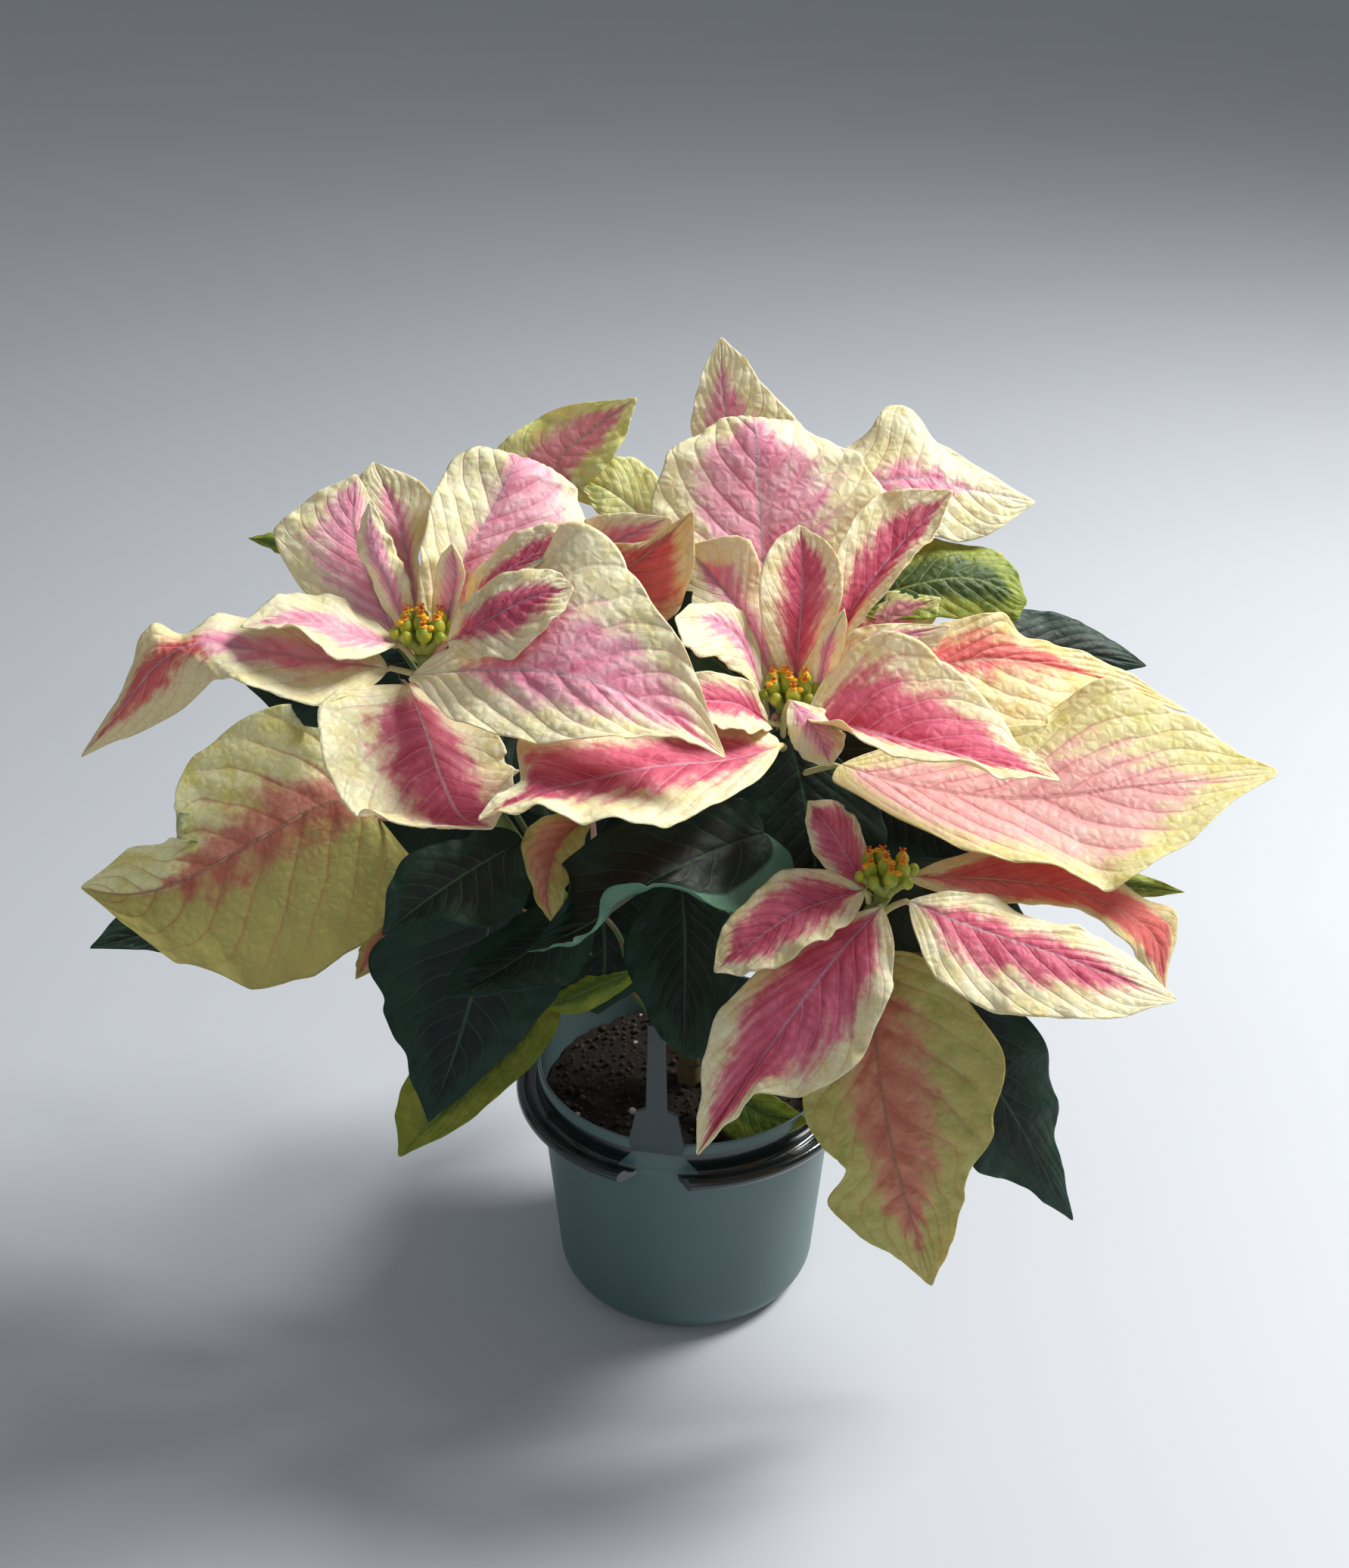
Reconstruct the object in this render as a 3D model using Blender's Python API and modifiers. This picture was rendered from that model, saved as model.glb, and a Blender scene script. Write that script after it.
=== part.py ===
"""A poinsettia in its plastic nursery pot, every leaf and bract a solid of its own.

The pot's axis is the Z axis and the pot stands on the plane Z = 0. Metres, +Z up, and the
front of the plant faces -Y.
"""
import math

import bmesh
import bpy
from mathutils import Matrix, Vector

# Pot, in metres
POT_HEIGHT = 0.098
POT_BASE_RADIUS = 0.050
POT_TOP_RADIUS = 0.0565
POT_CORNER = 0.012
POT_WALL = 0.0014
FLANGE_RADIUS = 0.065
FLANGE_Z = 0.0885
FLANGE_DROP = 0.005
SOIL_TOP = 0.083
SOIL_BOTTOM = 0.003
SOIL_GAP = 0.0012
SOIL_HOLE_RADIUS = 0.0056
SOIL_HOLE_DEPTH = 0.012
SOIL_CROWN = 0.002
SOIL_STEPS = 32
DRAIN_RADIUS = 0.004
DRAIN_RING = 0.030
DRAIN_HOLES = 5
LIP_ROUND = 0.0004
FLANGE_BEAD = 0.0022
GUTTER_DEPTH = 0.0030
GUTTER_FOOT = 0.0022
POT_STEPS = 48
NOTCH_OUTER_HALF = 0.0120
NOTCH_INNER_HALF = 0.0052
NOTCH_WALL_GAP = 0.0009
NOTCH_OVERRUN = 0.002
NOTCH_DEPTH = 0.012
SUPPORT_ANGLE = math.radians(-100.5)
SUPPORT_FOOT_HALF = 0.0045
SUPPORT_WIDTH = 0.0058
SUPPORT_THICK = 0.0016
SUPPORT_TOP = 0.150
SUPPORT_EDGE = 0.0003
SUPPORT_GAP = 0.0008
SEAT = 0.0003

# Stems: half thickness, and the points that each follows, in millimetres
STEM_RADIUS = 0.0042
BRANCH_RADIUS = 0.0028
MAIN_STEM = ((0, 0, 72), (1, -1, 96), (1, -2, 122))
BRANCHES = {
    "left": ((-4.9, -4.1, 102), (-7.2, -5.2, 116), (-30, -10, 150), (-64, -19, 208),
                (-82, -25, 252), (-86, -26, 275)),
    "centre": ((8.3, -2, 108), (9.5, -1.5, 122), (19, 0, 166), (30, -4, 218), (34, -8, 245)),
    "right": ((2.5, -7.9, 98), (4.6, -9.8, 110), (27, -28, 138), (54, -50, 180), (64, -62, 206)),
    "back": ((1.2, 5.9, 106), (1.8, 7.5, 118), (9, 30, 160), (18, 54, 220), (20, 62, 262)),
}

# The front view that leaf points are written in: the eye's place in metres, how far it looks
# down and to the side, and the picture's scale and middle
EYE = Vector((0.0, -0.609, 0.540))
LOOK_DOWN = math.radians(28.24)
LOOK_ASIDE = math.radians(-0.44)
VIEW_SCALE = 2600.0
VIEW_MIDDLE = (891.5, 1036.0)

# Leaves: half thickness of blade and stalk, and the blade's mesh
BLADE_THICK = 0.0007
STALK_THICK = 0.0020
STALK_HALF_WIDTH = 0.0011
STALK_BOW = 0.3
TIP_HALF_WIDTH = 0.0004
BLADE_ROWS = 9
BLADE_COLUMNS = 4
STALK_ROWS = 2
WIDEST_POWER = 0.75
TIP_POWER = 0.90

# Each leaf: its branch, how far along it the stalk leaves, the colour, and then its midrib, its
# left and its right edge, each point as across and down in the front view and depth in mm. An
# edge point starts with its share of the blade's length.
LEAVES = {
    "bract_left_1": ("left", 0.93, "cream",
        [(512, 882, -31), (430, 872, -36), (345, 858, -42), (262, 848, -47), (205, 880, -50),
         (150, 950, -54), (107, 1000, -56)],
        [(0.20, 430, 926, -54), (0.38, 340, 906, -60), (0.52, 290, 893, -58),
         (0.72, 235, 945, -50), (0.88, 150, 984, -54)],
        [(0.20, 420, 805, -20), (0.42, 300, 808, -24), (0.55, 245, 832, -34),
         (0.66, 197, 826, -40), (0.85, 150, 925, -50)]),
    "bract_left_2": ("left", 0.99, "cream",
        [(525, 850, -29), (470, 838, -35), (400, 818, -38), (318, 828, -44)],
        [(0.35, 447, 870, -50), (0.65, 385, 835, -50)],
        [(0.35, 450, 798, -21), (0.60, 390, 787, -25)]),
    "bract_left_3": ("left", 0.96, "cream",
        [(526, 846, -14), (490, 770, -10), (468, 700, -1), (471, 627, 9)],
        [(0.22, 425, 800, -12), (0.36, 388, 765, -11), (0.52, 363, 704, -7), (0.75, 405, 662, 1)],
        [(0.50, 510, 705, 3)]),
    "bract_left_4": ("left", 0.92, "cream",
        [(555, 846, -7), (540, 740, 5), (520, 670, 18), (494, 611, 28)],
        [(0.25, 500, 775, 3), (0.60, 470, 660, 17)],
        [(0.30, 558, 755, 7), (0.65, 568, 650, 20)]),
    "bract_left_5": ("left", 0.98, "cream",
        [(543, 846, -20), (512, 770, -21), (492, 715, -16), (488, 663, -9)],
        [(0.50, 478, 735, -16)],
        [(0.50, 530, 745, -16)]),
    "bract_left_6": ("left", 0.94, "cream",
        [(570, 850, -15), (612, 745, -8), (650, 675, 3), (686, 606, 16), (706, 620, 46)],
        [(0.25, 562, 745, -20), (0.48, 578, 650, -2), (0.66, 598, 600, 16)],
        [(0.25, 690, 770, -8), (0.48, 775, 695, 6), (0.66, 768, 645, 20), (0.80, 728, 612, 36)]),
    "bract_left_7": ("left", 0.97, "cream",
        [(583, 848, -18), (602, 770, -20), (597, 718, -17)],
        [(0.50, 575, 765, -19)],
        [(0.50, 614, 765, -21)]),
    "bract_left_8": ("left", 0.95, "cream",
        [(603, 850, -20), (652, 768, -23), (715, 727, -20), (777, 696, -16)],
        [(0.40, 645, 742, -14), (0.65, 700, 700, -13)],
        [(0.50, 700, 755, -25)]),
    "bract_left_9": ("left", 0.98, "cream",
        [(592, 848, -36), (650, 815, -44), (700, 790, -43), (758, 776, -42)],
        [(0.35, 632, 775, -34), (0.65, 715, 747, -35)],
        [(0.30, 630, 866, -51), (0.50, 680, 866, -55), (0.75, 735, 812, -50)]),
    "bract_left_10": ("left", 0.95, "cream",
        [(545, 892, -36), (640, 885, -48), (760, 893, -60), (860, 933, -68), (958, 1000, -80)],
        [(0.08, 580, 868, -35), (0.20, 672, 826, -31), (0.38, 765, 706, -18),
         (0.52, 829, 765, -28), (0.70, 885, 835, -46), (0.88, 932, 930, -66)],
        [(0.10, 548, 905, -44), (0.24, 600, 955, -60), (0.45, 715, 988, -76),
         (0.65, 820, 988, -84), (0.85, 905, 983, -84)]),
    "bract_left_11": ("left", 0.86, "magenta",
        [(540, 905, -36), (562, 960, -50), (583, 1025, -60), (610, 1078, -74), (650, 1094, -84)],
        [(0.25, 610, 965, -34), (0.45, 652, 1010, -44), (0.65, 681, 1044, -56), (0.85, 680, 1062, -70)],
        [(0.12, 470, 918, -44), (0.28, 424, 935, -52), (0.46, 430, 1020, -66),
         (0.64, 475, 1098, -82), (0.84, 560, 1106, -92)]),
    "bract_left_12": ("left", 0.87, "cream",
        [(618, 886, -10), (690, 830, -15), (780, 775, -14), (850, 735, -12), (915, 676, -14)],
        [(0.55, 787, 722, -8), (0.80, 862, 712, -9)],
        [(0.60, 890, 812, -15), (0.82, 917, 745, -14)]),
    "leaf_left_1": ("left", 0.60, "yellow_green",
        [(500, 1080, 12), (440, 1060, 2), (350, 1105, -10), (250, 1160, -20), (170, 1182, -24),
         (107, 1173, -26)],
        [(0.12, 549, 1150, 10), (0.28, 500, 1215, 2), (0.45, 414, 1275, -12),
         (0.60, 330, 1297, -24), (0.75, 240, 1270, -30), (0.88, 165, 1222, -29)],
        [(0.10, 480, 965, 26), (0.22, 420, 938, 22), (0.36, 342, 945, 16), (0.50, 270, 995, 6),
         (0.62, 238, 1070, -5), (0.70, 232, 1108, -12), (0.85, 165, 1125, -18)]),
    "leaf_left_2": ("left", 0.42, "dark_green",
        [(420, 1160, 38), (300, 1190, 26), (200, 1232, 10), (119, 1253, -3)],
        [(0.40, 300, 1262, 24), (0.80, 190, 1254, 5)],
        [(0.40, 300, 1130, 36), (0.80, 160, 1210, 8)]),
    "leaf_left_3": ("left", 0.52, "dark_green",
        [(690, 1110, -36), (620, 1150, -45), (560, 1192, -53), (506, 1235, -59)],
        [(0.35, 680, 1210, -58), (0.70, 585, 1218, -63)],
        [(0.35, 620, 1100, -33), (0.70, 522, 1148, -46)]),
    "leaf_left_4": ("left", 0.22, "dark_green",
        [(655, 1190, -30), (628, 1300, -34), (600, 1395, -42), (567, 1482, -48)],
        [(0.30, 740, 1290, -30), (0.55, 695, 1365, -40), (0.80, 620, 1440, -46)],
        [(0.25, 497, 1245, -24), (0.50, 508, 1330, -34), (0.75, 540, 1412, -42)]),
    "leaf_left_5": ("left", 0.30, "yellow_green",
        [(690, 1260, 2), (690, 1350, -6), (620, 1430, -14), (528, 1528, -24)],
        [(0.30, 738, 1345, -10), (0.50, 700, 1410, -16), (0.75, 610, 1485, -24)],
        [(0.30, 620, 1320, 4), (0.70, 535, 1430, -12)]),
    "bract_centre_1": ("centre", 0.86, "coral",
        [(1030, 985, -34), (960, 1003, -52), (860, 1012, -70), (770, 1032, -84), (700, 1050, -93),
         (632, 1082, -100)],
        [(0.12, 1005, 1028, -56), (0.25, 955, 1064, -76), (0.45, 870, 1100, -97),
         (0.62, 775, 1092, -104), (0.75, 712, 1072, -104), (0.90, 655, 1080, -103)],
        [(0.15, 1000, 966, -27), (0.40, 870, 975, -46), (0.60, 760, 978, -56),
         (0.72, 688, 990, -64), (0.80, 690, 1040, -86), (0.90, 650, 1055, -94)]),
    "bract_centre_2": ("centre", 0.97, "magenta",
        [(1016, 955, -18), (975, 930, -26), (925, 925, -36), (880, 922, -46)],
        [(0.25, 1010, 966, -37), (0.60, 950, 965, -51)],
        [(0.30, 985, 900, -19), (0.60, 915, 890, -31)]),
    "bract_centre_3": ("centre", 0.99, "cream",
        [(1018, 950, -8), (985, 855, -5), (945, 820, -14), (893, 815, -25)],
        [(0.15, 1005, 925, -10), (0.50, 955, 866, -27), (0.78, 905, 850, -34)],
        [(0.50, 972, 800, -2), (0.80, 915, 797, -14)]),
    "bract_centre_4": ("centre", 0.93, "cream",
        [(1026, 908, 0), (985, 820, 7), (945, 765, 12), (905, 722, 15)],
        [(0.40, 935, 830, -1), (0.70, 905, 780, 7)],
        [(0.40, 1012, 780, 16), (0.70, 985, 712, 12)]),
    "bract_centre_5": ("centre", 0.985, "cream",
        [(1050, 912, 1), (1058, 820, 4), (1062, 755, 11), (1058, 694, 18)],
        [(0.30, 1006, 815, 0), (0.62, 1010, 740, 9)],
        [(0.30, 1106, 815, 2), (0.62, 1110, 745, 11)]),
    "bract_centre_6": ("centre", 0.95, "cream",
        [(1080, 928, -6), (1094, 856, -8), (1116, 805, -6)],
        [(0.50, 1080, 848, -8)],
        [(0.50, 1114, 855, -9)]),
    "bract_centre_7": ("centre", 0.96, "cream",
        [(1074, 912, 4), (1130, 800, 14), (1190, 720, 26), (1259, 648, 36)],
        [(0.25, 1088, 790, 8), (0.45, 1112, 715, 20), (0.72, 1165, 655, 33)],
        [(0.28, 1120, 850, 2), (0.55, 1195, 755, 12), (0.80, 1238, 705, 24)]),
    "bract_centre_8": ("centre", 0.88, "cream",
        [(1041, 905, 11), (1012, 770, 28), (1004, 660, 44), (998, 560, 58), (994, 552, 74)],
        [(0.25, 930, 770, 24), (0.42, 862, 680, 38), (0.58, 880, 605, 50), (0.75, 935, 560, 62)],
        [(0.25, 1115, 755, 30), (0.42, 1168, 660, 42), (0.58, 1140, 605, 54), (0.75, 1070, 570, 66)]),
    "bract_centre_9": ("centre", 0.94, "magenta",
        [(1066, 948, -20), (1130, 962, -31), (1210, 982, -43), (1310, 1006, -55), (1400, 1030, -66)],
        [(0.12, 1100, 890, -10), (0.28, 1171, 838, -8), (0.43, 1245, 880, -16),
         (0.60, 1308, 940, -30), (0.80, 1362, 1002, -50)],
        [(0.15, 1090, 958, -42), (0.35, 1180, 1003, -62), (0.60, 1290, 1025, -74),
         (0.80, 1350, 1032, -74)]),
    "bract_centre_10": ("centre", 0.88, "coral",
        [(1110, 905, 6), (1220, 885, 16), (1320, 870, 26), (1440, 893, 34), (1570, 940, 38)],
        [(0.22, 1200, 835, 30), (0.42, 1320, 808, 36), (0.55, 1365, 840, 38), (0.75, 1460, 872, 42)],
        [(0.25, 1250, 960, -2), (0.42, 1350, 985, 0), (0.55, 1408, 955, 8), (0.72, 1470, 912, 26)]),
    "leaf_centre_1": ("centre", 0.74, "yellow_green",
        [(1112, 1010, -24), (1200, 1035, -26), (1347, 1054, -28), (1500, 1038, -24), (1689, 1020, -18)],
        [(0.20, 1230, 985, -8), (0.40, 1380, 975, 0), (0.56, 1465, 911, 12), (0.72, 1554, 950, 5),
         (0.88, 1640, 1002, -8)],
        [(0.06, 1100, 1030, -32), (0.22, 1243, 1120, -52), (0.42, 1378, 1162, -64),
         (0.60, 1476, 1180, -64), (0.74, 1555, 1130, -50), (0.88, 1632, 1065, -32)]),
    "leaf_centre_2": ("centre", 0.50, "dark_green",
        [(1010, 1100, -40), (930, 1130, -58), (850, 1170, -74), (780, 1220, -86), (699, 1256, -96)],
        [(0.14, 1043, 1150, -44), (0.28, 985, 1208, -64), (0.45, 860, 1195, -84),
         (0.60, 812, 1215, -92), (0.78, 760, 1262, -98)],
        [(0.20, 960, 1060, -38), (0.45, 850, 1090, -50), (0.68, 745, 1150, -70),
         (0.85, 735, 1208, -86)]),
    "leaf_left_7": ("left", 0.47, "yellow_green",
        [(780, 1075, -42), (735, 1120, -54), (722, 1180, -64), (733, 1225, -70)],
        [(0.45, 770, 1120, -56), (0.70, 745, 1175, -66)],
        [(0.45, 690, 1110, -52), (0.70, 702, 1175, -62)]),
    "leaf_left_6": ("left", 0.36, "dark_green",
        [(780, 1200, -42), (720, 1240, -52), (660, 1282, -62), (589, 1317, -70)],
        [(0.35, 760, 1292, -60), (0.70, 670, 1306, -69)],
        [(0.35, 700, 1200, -40), (0.70, 612, 1262, -58)]),
    "leaf_centre_3": ("centre", 0.30, "dark_green",
        [(900, 1160, -26), (905, 1230, -40), (905, 1310, -56), (903, 1396, -68)],
        [(0.30, 985, 1240, -42), (0.62, 960, 1330, -57), (0.80, 928, 1398, -67)],
        [(0.30, 826, 1240, -38), (0.62, 848, 1325, -56), (0.80, 870, 1365, -64)]),
    "bract_right_1": ("right", 0.96, "magenta",
        [(1140, 1176, -66), (1060, 1202, -77), (1000, 1240, -83), (944, 1284, -87)],
        [(0.40, 1085, 1238, -93), (0.70, 1000, 1282, -96)],
        [(0.35, 1040, 1148, -64), (0.68, 960, 1215, -76)]),
    "bract_right_2": ("right", 0.94, "magenta",
        [(1146, 1178, -56), (1105, 1106, -49), (1068, 1058, -43)],
        [(0.50, 1078, 1125, -53)],
        [(0.50, 1128, 1075, -40)]),
    "bract_right_3": ("right", 0.95, "magenta",
        [(1165, 1198, -72), (1100, 1270, -87), (1020, 1380, -100), (922, 1525, -106)],
        [(0.22, 1178, 1290, -96), (0.42, 1140, 1395, -108), (0.58, 1065, 1448, -110),
         (0.74, 985, 1450, -109)],
        [(0.24, 1040, 1245, -80), (0.46, 960, 1325, -92), (0.62, 928, 1400, -99),
         (0.78, 925, 1460, -104)]),
    "bract_right_4": ("right", 0.92, "magenta",
        [(1202, 1190, -73), (1280, 1222, -78), (1400, 1262, -86), (1554, 1321, -92)],
        [(0.25, 1300, 1180, -66), (0.45, 1380, 1215, -73), (0.68, 1465, 1240, -78)],
        [(0.25, 1240, 1285, -94), (0.45, 1320, 1335, -102), (0.68, 1420, 1342, -104)]),
    "bract_right_5": ("right", 0.90, "coral",
        [(1205, 1158, -56), (1320, 1162, -52), (1430, 1180, -50), (1520, 1230, -50), (1540, 1306, -53)],
        [(0.35, 1380, 1115, -36), (0.65, 1500, 1175, -38), (0.82, 1556, 1222, -42)],
        [(0.30, 1290, 1190, -56), (0.60, 1430, 1205, -58), (0.82, 1505, 1258, -60)]),
    "leaf_right_1": ("right", 0.82, "yellow_green",
        [(1160, 1262, -74), (1158, 1380, -86), (1180, 1520, -93), (1205, 1610, -92), (1231, 1699, -86)],
        [(0.20, 1250, 1290, -78), (0.38, 1322, 1390, -84), (0.55, 1308, 1480, -88),
         (0.68, 1272, 1570, -90), (0.84, 1250, 1645, -88)],
        [(0.25, 1075, 1400, -88), (0.42, 1062, 1465, -92), (0.60, 1118, 1530, -92),
         (0.72, 1100, 1588, -90), (0.86, 1175, 1650, -88)]),
    "leaf_right_2": ("right", 0.66, "dark_green",
        [(1235, 1265, -58), (1290, 1390, -68), (1350, 1490, -71), (1418, 1612, -68)],
        [(0.35, 1370, 1360, -60), (0.58, 1400, 1450, -63), (0.80, 1402, 1530, -66)],
        [(0.35, 1215, 1430, -76), (0.55, 1290, 1545, -76), (0.80, 1370, 1580, -72)]),
    "bract_back_1": ("back", 0.97, "cream",
        [(975, 660, 84), (966, 590, 85), (956, 515, 86), (953, 445, 88)],
        [(0.40, 915, 575, 84), (0.70, 924, 505, 85)],
        [(0.40, 1052, 565, 92), (0.70, 998, 495, 90)]),
    "bract_back_2": ("back", 0.94, "cream",
        [(1060, 670, 66), (1190, 632, 72), (1280, 645, 76), (1368, 663, 78)],
        [(0.30, 1135, 580, 84), (0.55, 1195, 534, 92), (0.80, 1275, 602, 86)],
        [(0.40, 1190, 700, 58), (0.72, 1295, 708, 64)]),
    "bract_back_3": ("back", 0.94, "pale_green",
        [(860, 690, 60), (740, 620, 64), (780, 570, 68), (841, 526, 70)],
        [(0.45, 655, 597, 66), (0.68, 725, 544, 72)],
        [(0.45, 775, 640, 60), (0.75, 818, 590, 64)]),
    "bract_back_4": ("back", 0.70, "pale_green",
        [(935, 750, 48), (860, 690, 55), (810, 650, 60), (765, 630, 64)],
        [(0.50, 815, 705, 50)],
        [(0.50, 850, 612, 66)]),
    "leaf_back_1": ("back", 0.62, "green",
        [(1120, 800, 46), (1220, 770, 50), (1290, 765, 54), (1357, 795, 56)],
        [(0.40, 1225, 712, 64), (0.72, 1330, 735, 66)],
        [(0.45, 1240, 815, 42), (0.78, 1340, 822, 50)]),
    "leaf_back_2": ("back", 0.48, "dark_green",
        [(1200, 850, 62), (1330, 850, 74), (1420, 862, 80), (1515, 880, 84)],
        [(0.50, 1390, 808, 88)],
        [(0.50, 1360, 895, 70)]),
    "leaf_back_3": ("back", 0.36, "dark_green",
        [(760, 860, 70), (660, 860, 88), (560, 870, 104), (470, 890, 116)],
        [(0.45, 600, 930, 84)],
        [(0.45, 640, 800, 106)]),
    "leaf_back_4": ("back", 0.24, "dark_green",
        [(930, 1040, 62), (930, 1040, 84), (930, 1070, 104), (930, 1110, 118)],
        [(0.45, 850, 1070, 88)],
        [(0.45, 1010, 1070, 86)]),
    "bract_back_5": ("back", 0.92, "cream",
        [(965, 770, 78), (925, 740, 98), (895, 740, 118), (880, 765, 134)],
        [(0.42, 845, 765, 98)],
        [(0.42, 985, 735, 116)]),
}

# Flower clusters: the branch each crowns, and its small flower balls as across, depth and up
# from the branch's tip, with each ball's radius, in millimetres
FLOWER_BALLS = (
    (0.0, 0.0, 9.4, 3.1), (4.6, -1.6, 9.4, 2.6), (-4.8, -0.8, 9.2, 2.7), (1.2, -4.8, 8.8, 2.7),
    (-0.8, 4.6, 9.8, 2.5), (4.8, 3.6, 10.4, 2.2), (-4.8, 3.8, 10.0, 2.1),
)
FLOWER_SEAT_RADIUS = 0.0030
FLOWER_SEAT_TOP = 0.0086
FLOWER_SEAT_SINK = 0.0011
FLOWER_SEAT_FLARE = 1.7
FLOWER_BALL_STRETCH = 1.25

COLOURS = {
    "pot": ((0.16, 0.19, 0.19, 1.0), 0.38),
    "soil": ((0.035, 0.024, 0.017, 1.0), 0.95),
    "stem": ((0.16, 0.22, 0.07, 1.0), 0.55),
    "flower": ((0.45, 0.50, 0.06, 1.0), 0.50),
    "cream": ((0.85, 0.76, 0.62, 1.0), 0.60),
    "magenta": ((0.55, 0.10, 0.22, 1.0), 0.58),
    "coral": ((0.80, 0.42, 0.34, 1.0), 0.60),
    "yellow_green": ((0.52, 0.50, 0.16, 1.0), 0.58),
    "pale_green": ((0.62, 0.66, 0.36, 1.0), 0.60),
    "green": ((0.16, 0.30, 0.07, 1.0), 0.50),
    "dark_green": ((0.012, 0.035, 0.022, 1.0), 0.42),
}


def clear_scene():
    for old in list(bpy.data.objects):
        bpy.data.objects.remove(old, do_unlink=True)


def make_collection(name):
    collection = bpy.data.collections.new(name)
    bpy.context.scene.collection.children.link(collection)
    return collection


def make_material(name):
    colour, roughness = COLOURS[name]
    material = bpy.data.materials.new(name)
    material.use_nodes = True
    shader = material.node_tree.nodes["Principled BSDF"]
    shader.inputs["Base Color"].default_value = colour
    shader.inputs["Roughness"].default_value = roughness
    shader.inputs["Metallic"].default_value = 0.0
    return material


def add_object(name, data, colour, collection):
    """Link a new object for a mesh or a curve, with a material of its own."""
    item = bpy.data.objects.new(name, data)
    data.materials.append(make_material(colour))
    collection.objects.link(item)
    return item


def turned(name, profile, steps, colour, collection):
    """A solid turned round the Z axis, from a closed profile that runs down its outer side."""
    mesh = bpy.data.meshes.new(name)
    edges = [(i, i + 1) for i in range(len(profile) - 1)]
    mesh.from_pydata([(r, 0.0, z) for r, z in profile], edges, [])
    item = add_object(name, mesh, colour, collection)
    screw = item.modifiers.new("Turn", "SCREW")
    screw.steps = steps
    screw.render_steps = steps
    screw.use_merge_vertices = True
    screw.merge_threshold = 0.00001
    screw.use_smooth_shade = True
    return item


def arc(centre, radius, start, end, count):
    """Points of an arc in the profile's plane, in degrees."""
    points = []
    for i in range(count + 1):
        angle = math.radians(start + (end - start) * i / count)
        points.append((centre[0] + radius * math.cos(angle), centre[1] + radius * math.sin(angle)))
    return points


def cut(target, cutter):
    boolean = target.modifiers.new("Cut", "BOOLEAN")
    boolean.operation = "DIFFERENCE"
    boolean.solver = "EXACT"
    boolean.object = cutter


def add_cutter(name, mesh, collection):
    cutter = bpy.data.objects.new(name, mesh)
    cutter.hide_render = True
    cutter.display_type = "WIRE"
    collection.objects.link(cutter)
    return cutter


def build_pot(collection, cutters):
    """The thin moulded pot: base, tapering wall, projecting flange with a rolled edge, collar."""
    bead_centre = (FLANGE_RADIUS - FLANGE_BEAD, FLANGE_Z - FLANGE_DROP + FLANGE_BEAD)
    outer = [(POT_TOP_RADIUS - POT_WALL, POT_HEIGHT), (POT_TOP_RADIUS, POT_HEIGHT - LIP_ROUND)]
    outer += [(POT_TOP_RADIUS, FLANGE_Z)]
    outer += [(POT_TOP_RADIUS + GUTTER_FOOT, FLANGE_Z - GUTTER_DEPTH)]
    outer += arc(bead_centre, FLANGE_BEAD, 140, -90, 7)
    outer += [(POT_TOP_RADIUS - LIP_ROUND, FLANGE_Z - FLANGE_DROP)]
    corner = (POT_BASE_RADIUS - POT_CORNER, POT_CORNER)
    outer += arc(corner, POT_CORNER, 0, -90, 5)
    inner = [(0.0, 0.0), (0.0, POT_WALL)]
    inner += arc(corner, POT_CORNER - POT_WALL, -90, 0, 4)
    bore = POT_TOP_RADIUS - POT_WALL
    inner += [(bore, FLANGE_Z - FLANGE_DROP + 0.001), (bore, POT_HEIGHT)]
    pot = turned("pot", outer + inner, POT_STEPS, "pot", collection)
    for i in range(DRAIN_HOLES):
        angle = 2 * math.pi * (i + 0.5) / DRAIN_HOLES
        mesh = bpy.data.meshes.new("drain_cutter")
        bm = bmesh.new()
        bmesh.ops.create_cone(bm, cap_ends=True, segments=12, radius1=DRAIN_RADIUS,
                              radius2=DRAIN_RADIUS, depth=POT_WALL * 7)
        place = Vector((DRAIN_RING * math.cos(angle), DRAIN_RING * math.sin(angle), 0.0))
        bmesh.ops.translate(bm, verts=bm.verts, vec=place)
        bm.to_mesh(mesh)
        bm.free()
        cut(pot, add_cutter("drain_cutter_%d" % (i + 1), mesh, cutters))
    cut(pot, add_cutter("notch_cutter", notch_mesh(), cutters))
    return pot


def notch_mesh():
    """A wedge that is wide at the flange's edge and narrow at the wall."""
    bm = bmesh.new()
    bmesh.ops.create_cube(bm, size=1.0)
    inner = POT_TOP_RADIUS + NOTCH_WALL_GAP
    outer = FLANGE_RADIUS + NOTCH_OVERRUN
    middle = FLANGE_Z - NOTCH_OVERRUN
    for vert in bm.verts:
        radius = outer if vert.co.x > 0 else inner
        half = NOTCH_OUTER_HALF if vert.co.x > 0 else NOTCH_INNER_HALF
        side = 1 if vert.co.y > 0 else -1
        vert.co = Vector((radius, half * side, middle + NOTCH_DEPTH * vert.co.z))
    bmesh.ops.rotate(bm, verts=bm.verts, cent=(0, 0, 0),
                     matrix=Matrix.Rotation(SUPPORT_ANGLE, 3, "Z"))
    mesh = bpy.data.meshes.new("notch_cutter")
    bm.to_mesh(mesh)
    bm.free()
    return mesh


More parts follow.
